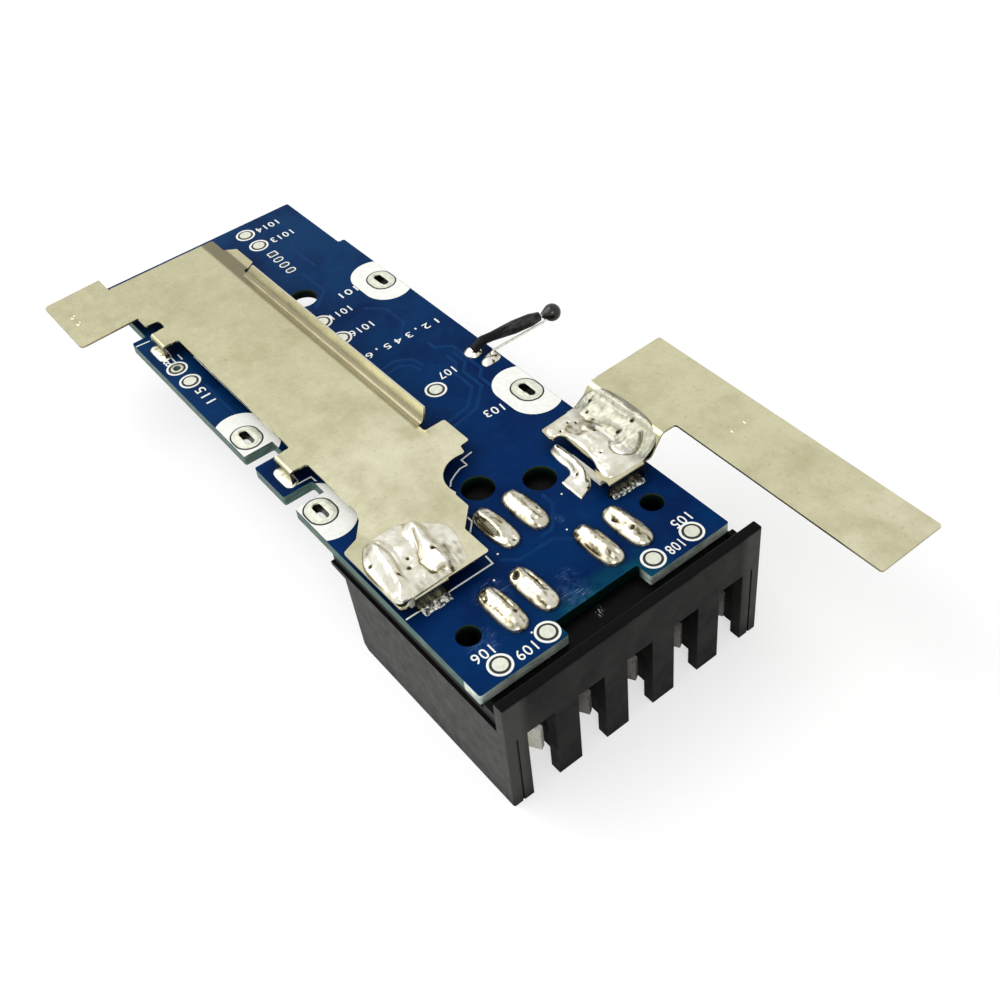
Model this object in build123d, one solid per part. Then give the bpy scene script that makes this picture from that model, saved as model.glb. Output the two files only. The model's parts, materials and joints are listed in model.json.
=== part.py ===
from build123d import *
import os

# Battery management board of an 18 V slide-on tool battery, in millimetres.
# X runs across the board, Y from the terminal edge to the far edge, Z upwards.
# Heights are measured from the upper face of the circuit board. Everything is
# laid out from the middle of the terminal edge and moved once, at the end, so
# that the origin lies midway between the two screw holes.

# Circuit board
BOARD_THICK = 1.6
BOARD_HALF = 20.0
BOARD_LENGTH = 105.9
BOARD_CORNER = 0.35
NECK_LENGTH = 16.7
NECK_INSET_RIGHT = 1.1
NECK_INSET_LEFT = 2.4
NOTCH_DEPTH = 4.6
NOTCH_HEIGHT = 2.9
NOTCH_STARTS = (40.4, 51.1)
RECESS_HALF = 6.6
RECESS_DEPTH = 2.6
SCREW_HOLES = ((-15.6, 7.9), (15.4, 9.2))
SCREW_HOLE_R = 1.65
PEG_HOLES = ((0.4, 26.7), (7.6, 22.5), (6.0, 79.9))
PEG_HOLE_R = 2.35

# Terminal slots and contacts
SLOT_PITCH = 7.7
SLOT_WIDTH = 4.1
SLOT_TOP = -4.0
PARTITION = 1.15
PARTITION_LOW = -15.8
TAIL_SPREAD = 2.43
TAIL_WIDTH = 6.4
TAIL_PROUD = 0.6
TAIL_CLEARANCE = 0.1
CONTACT_THICK = 0.8
CONTACT_LOW = -13.6
CONTACT_HIGH = -5.2
CONTACT_NOSE = -2.6
NOSE_DROP = 4.0
PINCH = 0.6
LIP_FLARE = 1.1
FRONT_ROW_Y = 8.1
BACK_ROW_Y = 19.2

# Terminal housing
HOUSING_HALF = 20.5
HOUSING_LOW = -16.4
HOUSING_FRONT = -5.0
FRONT_WALL = 1.6
FRONT_TOP = 2.7
FRONT_ROUND = 0.3
SHOULDER = -2.6
REAR_FOOT = 27.2
REAR_TOP = 28.3
REAR_WALL = 1.7
REAR_CHAMFER = 0.8
LIP_END = 31.5
LIP_LOW = -3.4
CHEEK_THICK = 1.0
CHEEK_END = -0.2
CHEEK_TOP = -0.7
PILOT_R = 1.25
STEP_LINE_X = 19.0
STEP_LINE_WIDTH = 0.3
STEP_LINE_DEPTH = 0.15

# Nickel sheet
SHEET = 0.3
SHEET_TOP = 2.5
SHEET_BEND = 0.8
LEG_BEND = 0.5
SHEET_CORNER = 0.4
FLANGE_X = 2.0
FLANGE_TOP = 5.0
FLANGE_LEAN = 0.5
FLANGE_START = 39.9
FLANGE_MARGIN = 12.6
FLANGE_SLANT = 2.2
PLATE_MARGIN = 4.2
PLATE_LEFT = -15.2
PLATE_EAR_X = 3.8
FOOT_X = -17.9
FOOT_WIDTH = 4.2
FOOT_STARTS = (44.3, 81.6)
FOOT_LOW = -2.3
PLATE_FRONT_Y = 14.9
STRIP_FRONT_Y = 13.4
PLATE_LEG = (-18.0, -13.0)
FRONT_LEG_LOW = -1.4
LEG_CLEARANCE = 0.1
WELD_TAB_OUT = -27.2
WELD_TAB_IN = -17.35
WELD_TAB_WIDTH = 14.3
WELD_TAB_PROUD = 3.7
WELD_TAB_DROP = 0.35
STRIP_TOP = 5.5
STRIP_INNER = 11.8
STRIP_OUTER = 18.1
STRIP_BACK_Y = 27.7
STRIP_RISE = (19.4, 21.4)
STRIP_ARM = (23.7, 34.8)
STRIP_ARM_END = -20.6
PEG_RELIEF = (0.4, 27.2, 4.1)
LEG_SOLDER = (1.6, 1.2)

# Solder, pads and eyelets
JOINT_LENGTH = 8.3
JOINT_WIDTH = 3.4
JOINT_HEIGHT = 0.9
JOINT_TAPER = 32
JOINT_BEVEL = 0.3
PAD_HEIGHT = 0.08
TEST_PAD_R = 0.98
TEST_PADS = ((-17.6, 74.4), (4.85, 72.4), (4.85, 66.8), (8.2, 46.8),
             (15.5, 2.05), (8.84, 2.0), (-8.24, 2.0), (-15.44, 2.0))
FAR_TEST_PADS = ((8.4, 3.3), (8.5, 7.7))
HOLED_PAD = (-17.66, 78.5)
HOLED_PAD_BORE = 0.6
JUMPER_PADS = ((8.8, 11.5), (8.95, 13.7), (8.95, 15.8), (8.95, 17.9))
EYELETS = ((-17.65, 57.3), (-17.65, 37.6), (17.85, 74.9), (17.75, 37.6))
EYELET_WIDTH = 3.9
EYELET_LENGTH = 4.9
EYELET_BORE = (3.2, 1.3)
EYELET_WALL = 0.1
EYELET_CLEARANCE = 0.03

# Thermistor
BEAD_CENTRE = (30.8, 47.4, 1.5)
BEAD_R = 1.38
BEAD_GAP = 0.45
SLEEVE_START = (17.2, 49.4, 0.75)
SLEEVE_KNEE = (18.6, 49.1, 1.9)
SLEEVE_END = (28.7, 47.9, 1.6)
SLEEVE_R = 0.72
SLEEVE_BELLY_R = 1.05
WIRE_R = 0.25
WIRE_BEND = 0.8
BARE_WIRE = ((19.3, 47.6, 0.42), (20.6, 47.55, 0.5), (28.7, 47.15, 0.82), (30.2, 47.2, 1.2))
BARE_WIRE_R = 0.18
SLEEVE_PAD = (17.1, 49.7)
BARE_PAD = (18.4, 47.1)

# Parts under the board
UNDER = -BOARD_THICK
STANDOFF = 0.1
TRANSISTORS = ((-10.0, 41.5), (-1.0, 41.5), (8.0, 41.5))
TRANSISTOR_BODY = (6.6, 6.1, 2.3)
TRANSISTOR_LEAD_SPREAD = 2.28
CONTROLLER = (-2.0, 63.5)
CONTROLLER_BODY = (7.2, 5.3, 1.7)
MONITOR = (-11.0, 54.5)
MONITOR_BODY = (4.9, 3.9, 1.5)
SHUNT = (9.0, 53.5)
SHUNT_SIZE = (6.3, 3.2, 0.95)
SHUNT_CAP = 0.8
CAPACITORS = ((-12.0, 62.0), (-12.0, 65.0), (-12.0, 68.0), (8.5, 60.5), (8.5, 63.5), (8.5, 66.5),
              (-4.0, 55.0), (1.0, 55.0))
CAPACITOR_SIZE = (2.0, 1.25, 1.25)
CAPACITOR_CAP = 0.4
RESISTORS = ((-8.5, 72.0), (-5.5, 72.0), (-2.5, 72.0), (0.5, 72.0), (-8.5, 75.0), (-5.5, 75.0),
             (-2.5, 75.0), (0.5, 75.0), (12.5, 62.0), (12.5, 64.5), (12.5, 67.0), (12.5, 69.5))
RESISTOR_SIZE = (1.6, 0.8, 0.45)
RESISTOR_CAP = 0.3
DIODES = ((-9.0, 83.0), (-2.0, 83.0))
DIODE_BODY = (4.3, 2.6, 2.2)
DIODE_ENDS = (5.0, 1.6, 0.9)

SLOT_CENTRES = [SLOT_PITCH * n for n in (-2, -1, 0, 1, 2)]
ORIGIN_X = (SCREW_HOLES[0][0] + SCREW_HOLES[1][0]) / 2
ORIGIN_Y = (SCREW_HOLES[0][1] + SCREW_HOLES[1][1]) / 2
SHEET_LOW = SHEET_TOP - SHEET
INNER_FRONT = HOUSING_FRONT + FRONT_WALL
NECK_Y = BOARD_LENGTH - NECK_LENGTH
PLATE_END = BOARD_LENGTH - PLATE_MARGIN
FLANGE_END = PLATE_END - FLANGE_MARGIN
FOOT_SPANS = [(start, start + FOOT_WIDTH) for start in FOOT_STARTS]
FRONT_LEGS = ((*PLATE_LEG, PLATE_FRONT_Y), (STRIP_INNER + 0.1, STRIP_OUTER - 0.1, STRIP_FRONT_Y))


def block(x0, x1, y0, y1, z0, z1):
    return Pos((x0 + x1) / 2, (y0 + y1) / 2, (z0 + z1) / 2) * Box(x1 - x0, y1 - y0, z1 - z0)


def sheet(points, low, thick, corner):
    outline = FilletPolyline(*points, radius=corner, close=True)
    return Pos(0, 0, low) * extrude(make_face(outline), thick)


def ribbon(points, thick, bend):
    """Section of a bent sheet whose outer face follows the points."""
    spine = FilletPolyline(*points, radius=bend)
    return make_face(offset(spine, amount=thick, side=Side.LEFT))


def across(profile, x0, x1):
    return Pos(x0, 0, 0) * extrude(Plane.YZ * profile, x1 - x0)


def along(profile, y0, y1):
    return Pos(0, y1, 0) * extrude(Plane.XZ * profile, y1 - y0)


def oval(x, y, z, length, width, height):
    return Pos(x, y, z) * extrude(SlotOverall(length, width, rotation=90), height)


def tail_row(index):
    return BACK_ROW_Y if index % 2 == 0 else FRONT_ROW_Y


def tails():
    """Middle of every contact tail: x, y and the height it ends at."""
    found = []
    for index, centre in enumerate(SLOT_CENTRES):
        for side in (-1, 1):
            buried = index == 0 or (index == 4 and side == 1)
            top = SHEET_TOP + TAIL_PROUD if buried else TAIL_PROUD
            found.append((centre + side * TAIL_SPREAD, tail_row(index), top))
    return found


def tail_openings(low, high, clearance):
    half_thick = CONTACT_THICK / 2 + clearance
    half_width = TAIL_WIDTH / 2 + clearance
    cuts = []
    for x, y, top in tails():
        cuts.append(block(x - half_thick, x + half_thick, y - half_width, y + half_width, low, high))
    return cuts


def circuit_board():
    outline = [(-BOARD_HALF, 0), (-RECESS_HALF, 0), (-RECESS_HALF, RECESS_DEPTH)]
    outline += [(RECESS_HALF, RECESS_DEPTH), (RECESS_HALF, 0), (BOARD_HALF, 0)]
    right = BOARD_HALF - NECK_INSET_RIGHT
    left = NECK_INSET_LEFT - BOARD_HALF
    outline += [(BOARD_HALF, NECK_Y), (right, NECK_Y), (right, BOARD_LENGTH)]
    outline += [(left, BOARD_LENGTH), (left, NECK_Y), (-BOARD_HALF, NECK_Y)]
    inner = NOTCH_DEPTH - BOARD_HALF
    for start in reversed(NOTCH_STARTS):
        outline += [(-BOARD_HALF, start + NOTCH_HEIGHT), (inner, start + NOTCH_HEIGHT)]
        outline += [(inner, start), (-BOARD_HALF, start)]
    board = sheet(outline, UNDER, BOARD_THICK, BOARD_CORNER)
    low = UNDER - 1
    depth = BOARD_THICK + 2
    cuts = tail_openings(low, 1, TAIL_CLEARANCE)
    for x, y in SCREW_HOLES:
        cuts.append(Pos(x, y, 0) * Cylinder(SCREW_HOLE_R, 2 * depth))
    for x, y in PEG_HOLES:
        cuts.append(Pos(x, y, 0) * Cylinder(PEG_HOLE_R, 2 * depth))
    wall = 2 * (EYELET_WALL + EYELET_CLEARANCE)
    for x, y in EYELETS:
        cuts.append(oval(x, y, low, EYELET_BORE[0] + wall, EYELET_BORE[1] + wall, depth))
    gap = LEG_CLEARANCE
    for y0, y1 in FOOT_SPANS:
        cuts.append(block(FOOT_X - gap, FOOT_X + SHEET + gap, y0 - gap, y1 + gap, low, 1))
    for x0, x1, y in FRONT_LEGS:
        cuts.append(block(x0 - gap, x1 + gap, y - gap, y + SHEET + gap, low, 1))
    cuts.append(Pos(*HOLED_PAD, 0) * Cylinder(HOLED_PAD_BORE, 2 * depth))
    return board - cuts


def terminal_housing():
    side_view = make_face(Polyline(
        (HOUSING_FRONT, HOUSING_LOW), (REAR_FOOT - REAR_CHAMFER, HOUSING_LOW),
        (REAR_FOOT, HOUSING_LOW + REAR_CHAMFER), (REAR_TOP, LIP_LOW), (LIP_END, LIP_LOW + 0.2),
        (LIP_END, SHOULDER), (HOUSING_FRONT, SHOULDER), close=True))
    body = across(side_view, -HOUSING_HALF, HOUSING_HALF)
    body = body + block(-BOARD_HALF, BOARD_HALF, INNER_FRONT, LIP_END, SHOULDER, UNDER)
    body = body + block(-HOUSING_HALF, HOUSING_HALF, HOUSING_FRONT, INNER_FRONT, SLOT_TOP, FRONT_TOP)
    cheek = make_face(Polyline((INNER_FRONT, SHOULDER), (CHEEK_END, SHOULDER),
                               (CHEEK_END - 0.4, CHEEK_TOP), (INNER_FRONT, CHEEK_TOP), close=True))
    body = body + across(cheek, -BOARD_HALF, CHEEK_THICK - BOARD_HALF)
    body = body + across(cheek, BOARD_HALF - CHEEK_THICK, BOARD_HALF)
    cavity = (SLOT_PITCH - PARTITION) / 2
    under = HOUSING_LOW - 1
    inner_rear = REAR_FOOT - REAR_WALL
    cuts = []
    for centre in SLOT_CENTRES:
        cuts.append(block(centre - cavity, centre + cavity, INNER_FRONT, inner_rear, under, SLOT_TOP))
        cuts.append(block(centre - SLOT_WIDTH / 2, centre + SLOT_WIDTH / 2, HOUSING_FRONT - 1,
                          INNER_FRONT + 1, under, SLOT_TOP))
    span = SLOT_CENTRES[4]
    cuts.append(block(-span, span, INNER_FRONT, inner_rear, under, PARTITION_LOW))
    cuts += tail_openings(SLOT_TOP - 1, 0, TAIL_CLEARANCE)
    for x, y in SCREW_HOLES:
        cuts.append(Pos(x, y, SLOT_TOP) * Cylinder(PILOT_R, -2 * SLOT_TOP))
    for side in (-1, 1):
        x = side * STEP_LINE_X
        cuts.append(block(x - STEP_LINE_WIDTH / 2, x + STEP_LINE_WIDTH / 2, HOUSING_FRONT - 1,
                          HOUSING_FRONT + STEP_LINE_DEPTH, under, SLOT_TOP))
    body = body - cuts
    rim = [e for e in body.edges().filter_by(Axis.X) if abs(e.center().Z - FRONT_TOP) < 0.01]
    rim += [e for e in body.edges().filter_by(Axis.Z)
            if abs(e.center().Y - HOUSING_FRONT) < 0.01 and abs(abs(e.center().X) - HOUSING_HALF) < 0.01]
    return fillet(rim, FRONT_ROUND)


def contact(index):
    """Sprung fork: two leaves that pinch the blade, a bridge and two soldered tails."""
    centre = SLOT_CENTRES[index]
    row = tail_row(index)
    half = TAIL_WIDTH / 2
    rear = row + half
    inside = TAIL_SPREAD - CONTACT_THICK / 2
    spine = FilletPolyline((inside, rear), (inside, row - half), (PINCH / 2, CONTACT_NOSE + 1.9),
                           (PINCH / 2 + LIP_FLARE, CONTACT_NOSE), radius=1.2)
    leaf = make_face(offset(spine, amount=CONTACT_THICK, side=Side.LEFT))
    leaf = Pos(0, 0, CONTACT_LOW) * extrude(leaf, CONTACT_HIGH - CONTACT_LOW)
    nose, nose_top = CONTACT_NOSE, CONTACT_HIGH - NOSE_DROP
    silhouette = make_face(Polyline(
        (nose - 1, CONTACT_LOW), (rear - 1.5, CONTACT_LOW), (rear, CONTACT_LOW + 1.5),
        (rear + 1, CONTACT_HIGH), (nose + 5.5, CONTACT_HIGH), (nose + 1.8, nose_top),
        (nose + 0.6, nose_top - 0.3), (nose - 1, nose_top - 1.4), close=True))
    leaf = leaf & across(silhouette, -5, 5)
    bridge = block(-inside, inside, row - half, rear, SLOT_TOP - CONTACT_THICK, SLOT_TOP)
    body = leaf + mirror(leaf, Plane.YZ) + bridge
    for x, y, top in tails()[2 * index:2 * index + 2]:
        x = x - centre
        body = body + block(x - CONTACT_THICK / 2, x + CONTACT_THICK / 2, y - half, y + half,
                            CONTACT_HIGH, top)
    return Pos(centre, 0, 0) * body


def front_leg(index):
    """Sheet bent down into the board at the terminal end, and the room it takes."""
    x0, x1, y = FRONT_LEGS[index]
    leg = ribbon(((y + 3, SHEET_TOP), (y, SHEET_TOP), (y, FRONT_LEG_LOW)), SHEET, LEG_BEND)
    return block(x0, x1, y - 1, y + SHEET_BEND, 0, SHEET_TOP + 1), across(leg, x0, x1)


def bus_plate():
    base_x = FLANGE_X - FLANGE_LEAN
    fold = base_x - SHEET_BEND - SHEET
    ear_low = FLANGE_START - 7.2
    notch = FLANGE_END + 1.2
    edge = FLANGE_END - 0.5
    foot_x = PLATE_LEFT - 1.4
    front = PLATE_FRONT_Y
    outline = [(WELD_TAB_IN, PLATE_END), (FLANGE_X, PLATE_END), (FLANGE_X, PLATE_END - 3.9)]
    outline += [(PLATE_EAR_X, PLATE_END - 5.2), (PLATE_EAR_X, notch + 0.9), (FLANGE_X + 0.4, notch)]
    outline += [(base_x, notch), (base_x, edge), (fold, edge), (fold, FLANGE_START - 1.5)]
    outline += [(PLATE_EAR_X, FLANGE_START - 1.5), (PLATE_EAR_X, ear_low), (FLANGE_X + 0.2, ear_low - 0.1)]
    outline += [(FLANGE_X - 0.1, ear_low - 1.5), (fold - 0.4, ear_low - 1.5)]
    outline += [(-3.8, front + 10.7), (-3.8, front + 8), (-6.6, front + 5.1), (-6.6, front + 0.05)]
    outline += [(-18.0, front + 0.05), (-18.5, front + 0.9), (-19.2, front - 0.5), (-20.3, front)]
    outline += [(-20.4, front + 12.2), (-17.9, front + 13.1), (-15.8, front + 15.6)]
    outline += [(PLATE_LEFT, front + 17.1)]
    for y0, y1 in FOOT_SPANS:
        outline += [(PLATE_LEFT, y0 - 0.1), (foot_x, y0 - 0.1), (foot_x, y1 + 0.1), (PLATE_LEFT, y1 + 0.1)]
    outline += [(PLATE_LEFT, FOOT_SPANS[1][1] + 2.3), (WELD_TAB_IN, FOOT_SPANS[1][1] + 2.5)]
    plate = sheet(outline, SHEET_LOW, SHEET, SHEET_CORNER)
    flange = ribbon(((0, SHEET_LOW), (base_x, SHEET_LOW), (FLANGE_X, FLANGE_TOP)), SHEET, SHEET_BEND + SHEET)
    slant = make_face(Polyline((FLANGE_END, SHEET_TOP), (FLANGE_END - FLANGE_SLANT, FLANGE_TOP + 0.1),
                               (FLANGE_END, FLANGE_TOP + 0.1), close=True))
    plate = plate + (along(flange, FLANGE_START, FLANGE_END) - across(slant, 0, FLANGE_X + 1))
    foot = ribbon(((foot_x + 0.6, SHEET_TOP), (FOOT_X, SHEET_TOP), (FOOT_X, FOOT_LOW)), SHEET, LEG_BEND)
    for y0, y1 in FOOT_SPANS:
        plate = plate + along(foot, y0, y1)
    room, leg = front_leg(0)
    plate = plate - room + leg
    tab = make_face(Polyline(
        (WELD_TAB_OUT, SHEET_LOW - WELD_TAB_DROP), (WELD_TAB_IN, SHEET_LOW),
        (WELD_TAB_IN, SHEET_TOP), (WELD_TAB_OUT, SHEET_TOP - WELD_TAB_DROP), close=True))
    tab_end = PLATE_END + WELD_TAB_PROUD
    tab = along(tab, tab_end - WELD_TAB_WIDTH, tab_end)
    tips = [e for e in tab.edges().filter_by(Axis.Z) if abs(e.center().X - WELD_TAB_OUT) < 0.1]
    plate = plate + fillet(tips, 2 * SHEET_CORNER)
    cuts = tail_openings(0, FLANGE_TOP, TAIL_CLEARANCE)
    x, y, radius = PEG_RELIEF
    cuts.append(Pos(x, y, 0) * Cylinder(radius, 4 * FLANGE_TOP))
    return plate - cuts


def side_strip():
    inner, outer, back, front = STRIP_INNER, STRIP_OUTER, STRIP_BACK_Y, STRIP_FRONT_Y
    base = [(outer, back), (inner + 0.3, back - 0.3), (inner, back - 2.7), (inner + 1.9, back - 2.8)]
    base += [(inner + 1.6, front + 5.4), (inner + 0.7, front + 3.6), (inner, front), (outer, front)]
    strip = sheet(base, SHEET_LOW, SHEET, SHEET_CORNER)
    raised = STRIP_TOP - SHEET
    foot, crest = STRIP_RISE
    bend = ribbon(((outer - 1.1, SHEET_LOW), (foot, SHEET_LOW), (crest, raised), (crest + 2.8, raised)),
                  SHEET, SHEET_BEND)
    near = front + 0.1
    strip = strip + along(bend, near, back + 0.1)
    arm_in, arm_out = STRIP_ARM
    arm = [(crest + 1, near), (arm_in, near), (arm_in - 0.4, STRIP_ARM_END)]
    arm += [(arm_out - 0.8, STRIP_ARM_END), (arm_out, back + 0.5), (crest + 1, back + 0.2)]
    strip = strip + sheet(arm, raised, SHEET, SHEET_CORNER)
    room, leg = front_leg(1)
    strip = strip - room + leg
    return strip - tail_openings(0, STRIP_TOP, TAIL_CLEARANCE)


def joint(x, y, length, width):
    base = Pos(x, y, 0) * extrude(SlotOverall(length, width, rotation=90), JOINT_HEIGHT, taper=JOINT_TAPER)
    return chamfer(base.faces().sort_by(Axis.Z)[-1].edges(), JOINT_BEVEL)


def contact_solder_joints():
    side_pad_x = SLOT_CENTRES[4] - TAIL_SPREAD
    made = []
    for x, y, top in tails():
        if top < SHEET_TOP and x != side_pad_x:
            made.append(joint(x, y, JOINT_LENGTH, JOINT_WIDTH) - tail_openings(-1, TAIL_PROUD, 0))
    return made


def lump(points, height, corner):
    base = sheet(points, SHEET_TOP, height, corner)
    return chamfer(base.faces().sort_by(Axis.Z)[-1].edges(), 0.7 * height)


def hump(x, y, half_x, half_y, height):
    shape = scale(Sphere(1), by=(half_x, half_y, height))
    return Pos(x, y, SHEET_TOP) * (shape & block(-half_x, half_x, -half_y, half_y, 0, height))


def bus_plate_solder():
    front = PLATE_FRONT_Y
    edge = [(-20.1, front + 8.1), (-18.7, front + 10.8), (-14.5, front + 11.6), (-10.3, front + 10.1)]
    edge += [(-7.9, front + 7.6), (-7.6, front + 4.6), (-10.5, front + 1.3), (-14.0, front + 1.0)]
    edge += [(-18.0, front + 1.0), (-19.9, front + 1.5)]
    body = lump(edge, 0.5, 0.9)
    for side in (-1, 1):
        body = body + hump(SLOT_CENTRES[0] + side * TAIL_SPREAD, BACK_ROW_Y, 2.0, 4.3, 1.4)
    return body - tail_openings(-1, SHEET_TOP + TAIL_PROUD, 0)


def side_strip_solder():
    inner, back, front = STRIP_INNER, STRIP_BACK_Y, STRIP_FRONT_Y
    rise = STRIP_RISE[0] - 0.1
    edge = [(inner + 0.8, back - 0.8), (inner + 4.2, back - 0.7), (rise - 0.4, back - 1.3)]
    edge += [(rise, back - 6.7), (rise - 0.3, front + 2.6), (inner + 4.2, front + 1.2)]
    edge += [(inner + 1.4, front + 1.4), (inner + 2.4, front + 4.6), (inner + 2.6, front + 8.6)]
    edge += [(inner + 2.5, back - 2.7)]
    body = lump(edge, 0.45, 0.6)
    body = body + hump(SLOT_CENTRES[4] + TAIL_SPREAD, BACK_ROW_Y, 1.6, 4.3, 1.3)
    return body - tail_openings(-1, SHEET_TOP + TAIL_PROUD, 0) - side_strip()


def side_pad_solder():
    x = SLOT_CENTRES[4] - TAIL_SPREAD
    body = joint(x - 0.3, BACK_ROW_Y + 2.2, JOINT_LENGTH + 1.0, JOINT_WIDTH - 0.3)
    row = BACK_ROW_Y
    patch = [(x - 4, row + 0.4), (x - 4.2, row - 3.6), (x - 2.6, row - 3.6), (x - 0.4, row - 1.8)]
    patch += [(x + 0.4, row + 0.8)]
    body = body + sheet(patch, 0, 0.5, 0.3)
    return body - tail_openings(-1, TAIL_PROUD, 0)


def leg_solder_fillets():
    made = []
    for (x0, x1, y), reach in zip(FRONT_LEGS, LEG_SOLDER):
        low = 0.9 * reach
        profile = Polyline((y, 0), (y - reach, 0), (y - low, 0.12), (y - 0.3, 0.3), (y, 0.6), close=True)
        made.append(across(make_face(profile), x0, x1))
    for y0, y1 in FOOT_SPANS:
        ring = oval(FOOT_X + SHEET / 2, (y0 + y1) / 2, 0, y1 - y0 + 0.6, 2.2, 0.25)
        made.append(ring - block(FOOT_X, FOOT_X + SHEET, y0, y1, -1, 1))
    return made


def disc(x, y):
    return Pos(x, y, PAD_HEIGHT / 2) * Cylinder(TEST_PAD_R, PAD_HEIGHT)


def test_pads():
    made = [disc(x, y) for x, y in TEST_PADS]
    made += [disc(x, BOARD_LENGTH - inset) for x, inset in FAR_TEST_PADS]
    made.append(disc(*HOLED_PAD) - Pos(*HOLED_PAD, 0) * Cylinder(HOLED_PAD_BORE, 4))
    return made


def jumper_pads():
    return [Pos(x, BOARD_LENGTH - inset, 0) * extrude(SlotOverall(1.8, 1.0), PAD_HEIGHT)
            for x, inset in JUMPER_PADS]


def tap_eyelets():
    bore_length, bore_width = EYELET_BORE
    wall = 2 * EYELET_WALL
    low = UNDER - PAD_HEIGHT
    depth = BOARD_THICK + 2 * PAD_HEIGHT
    made = []
    for x, y in EYELETS:
        eyelet = oval(x, y, 0, EYELET_LENGTH, EYELET_WIDTH, PAD_HEIGHT)
        eyelet = eyelet + oval(x, y, low, EYELET_LENGTH, EYELET_WIDTH, PAD_HEIGHT)
        eyelet = eyelet + oval(x, y, low, bore_length + wall, bore_width + wall, depth)
        made.append(eyelet - oval(x, y, low - 1, bore_length, bore_width, depth + 2))
    return made


def tube(points, radius, bend):
    path = FilletPolyline(*points, radius=bend)
    return sweep(Plane(path @ 0, z_dir=path % 0) * Circle(radius), path=path)


def lead_wire():
    start, knee = Vector(*SLEEVE_START), Vector(*SLEEVE_KNEE)
    end, bead = Vector(*SLEEVE_END), Vector(*BEAD_CENTRE)
    root = start - (knee - start).normalized() * 0.7
    tip = end + (bead - end) * 0.6
    return tube((tuple(root), SLEEVE_KNEE, SLEEVE_END, tuple(tip)), WIRE_R, WIRE_BEND)


def thermistor_wires():
    return [lead_wire(), tube(BARE_WIRE, BARE_WIRE_R, WIRE_BEND)]


def thermistor_sleeve():
    knee, end = Vector(*SLEEVE_KNEE), Vector(*SLEEVE_END)
    run = (end - knee).length
    belly = make_face(Polyline((0, run * 0.18), (SLEEVE_R, run * 0.18), (SLEEVE_BELLY_R, run * 0.55),
                               (SLEEVE_BELLY_R - 0.05, run * 0.85), (SLEEVE_R, run), (0, run), close=True))
    belly = Plane(knee, z_dir=end - knee) * revolve(Plane.XZ * belly, Axis.Z)
    return tube((SLEEVE_START, SLEEVE_KNEE, SLEEVE_END), SLEEVE_R, WIRE_BEND) + belly - lead_wire()


def thermistor_bead():
    start, centre = Vector(*SLEEVE_END), Vector(*BEAD_CENTRE)
    reach = (centre - start).length
    low, high = BEAD_GAP, reach - BEAD_R * 0.56
    neck = Pos(0, 0, (low + high) / 2) * Cone(0.3 * BEAD_R, 0.83 * BEAD_R, high - low)
    bead = Plane(start, z_dir=centre - start) * (Pos(0, 0, reach) * Sphere(BEAD_R) + neck)
    return bead - thermistor_wires()


def thermistor_solder():
    first = Pos(*SLEEVE_PAD, 0) * extrude(RectangleRounded(2.6, 1.8, 0.5), 0.5)
    second = Pos(*BARE_PAD, 0) * extrude(RectangleRounded(3.0, 1.7, 0.4), 0.6)
    return [first - lead_wire() - thermistor_sleeve(), second - thermistor_wires()]


def chip_body(place, size):
    x, y = place
    length, width, height = size
    return block(x - length / 2, x + length / 2, y - width / 2, y + width / 2,
                 UNDER - STANDOFF - height, UNDER - STANDOFF)


def gull_leads(place, size, count, pitch, reach, width):
    """Two rows of bent leads, one along each long side of a chip body."""
    x, y = place
    body_half = size[1] / 2
    root = UNDER - STANDOFF - 0.55 * size[2]
    thick = 0.18
    made = []
    for side in (-1, 1):
        path = ((side * body_half, root), (side * (body_half + 0.3), root),
                (side * (body_half + 0.45), UNDER - thick), (side * (body_half + reach), UNDER - thick))
        face = make_face(offset(Polyline(*path), amount=thick, side=Side.LEFT if side > 0 else Side.RIGHT))
        for n in range(count):
            start = x + (n - (count - 1) / 2) * pitch - width / 2
            made.append(Pos(0, y, 0) * across(face, start, start + width))
    return made


def transistor_tabs():
    return [block(x - 2.7, x + 2.7, y - 1.0, y + 4.4, UNDER - 0.5, UNDER) for x, y in TRANSISTORS]


def transistor_bodies():
    length, width, height = TRANSISTOR_BODY
    made = []
    for x, y in TRANSISTORS:
        body = Pos(x, y, UNDER - height) * extrude(Rectangle(length, width), height)
        body = chamfer(body.faces().sort_by(Axis.Z)[0].edges(), 0.35)
        made.append(body - transistor_tabs())
    return made


def transistor_leads():
    near = -TRANSISTOR_BODY[1] / 2
    profile = Polyline((near, UNDER - 1.3), (near - 0.65, UNDER - 1.3),
                       (near - 1.05, UNDER - 0.5), (near - 2.25, UNDER - 0.5))
    face = make_face(offset(profile, amount=0.5, side=Side.RIGHT))
    made = []
    for x, y in TRANSISTORS:
        for shift in (-TRANSISTOR_LEAD_SPREAD, TRANSISTOR_LEAD_SPREAD):
            made.append(Pos(0, y, 0) * across(face, x + shift - 0.4, x + shift + 0.4))
    return made


def end_caps(places, size, cap):
    length, width, height = size
    made = []
    for x, y in places:
        for near, far in ((-length / 2, cap - length / 2), (length / 2 - cap, length / 2)):
            made.append(block(x + near, x + far, y - width / 2, y + width / 2, UNDER - height, UNDER))
    return made


def middles(places, size, cap):
    length, width, height = size
    half = length / 2 - cap
    return [block(x - half, x + half, y - width / 2, y + width / 2, UNDER - height, UNDER) for x, y in places]


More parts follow.
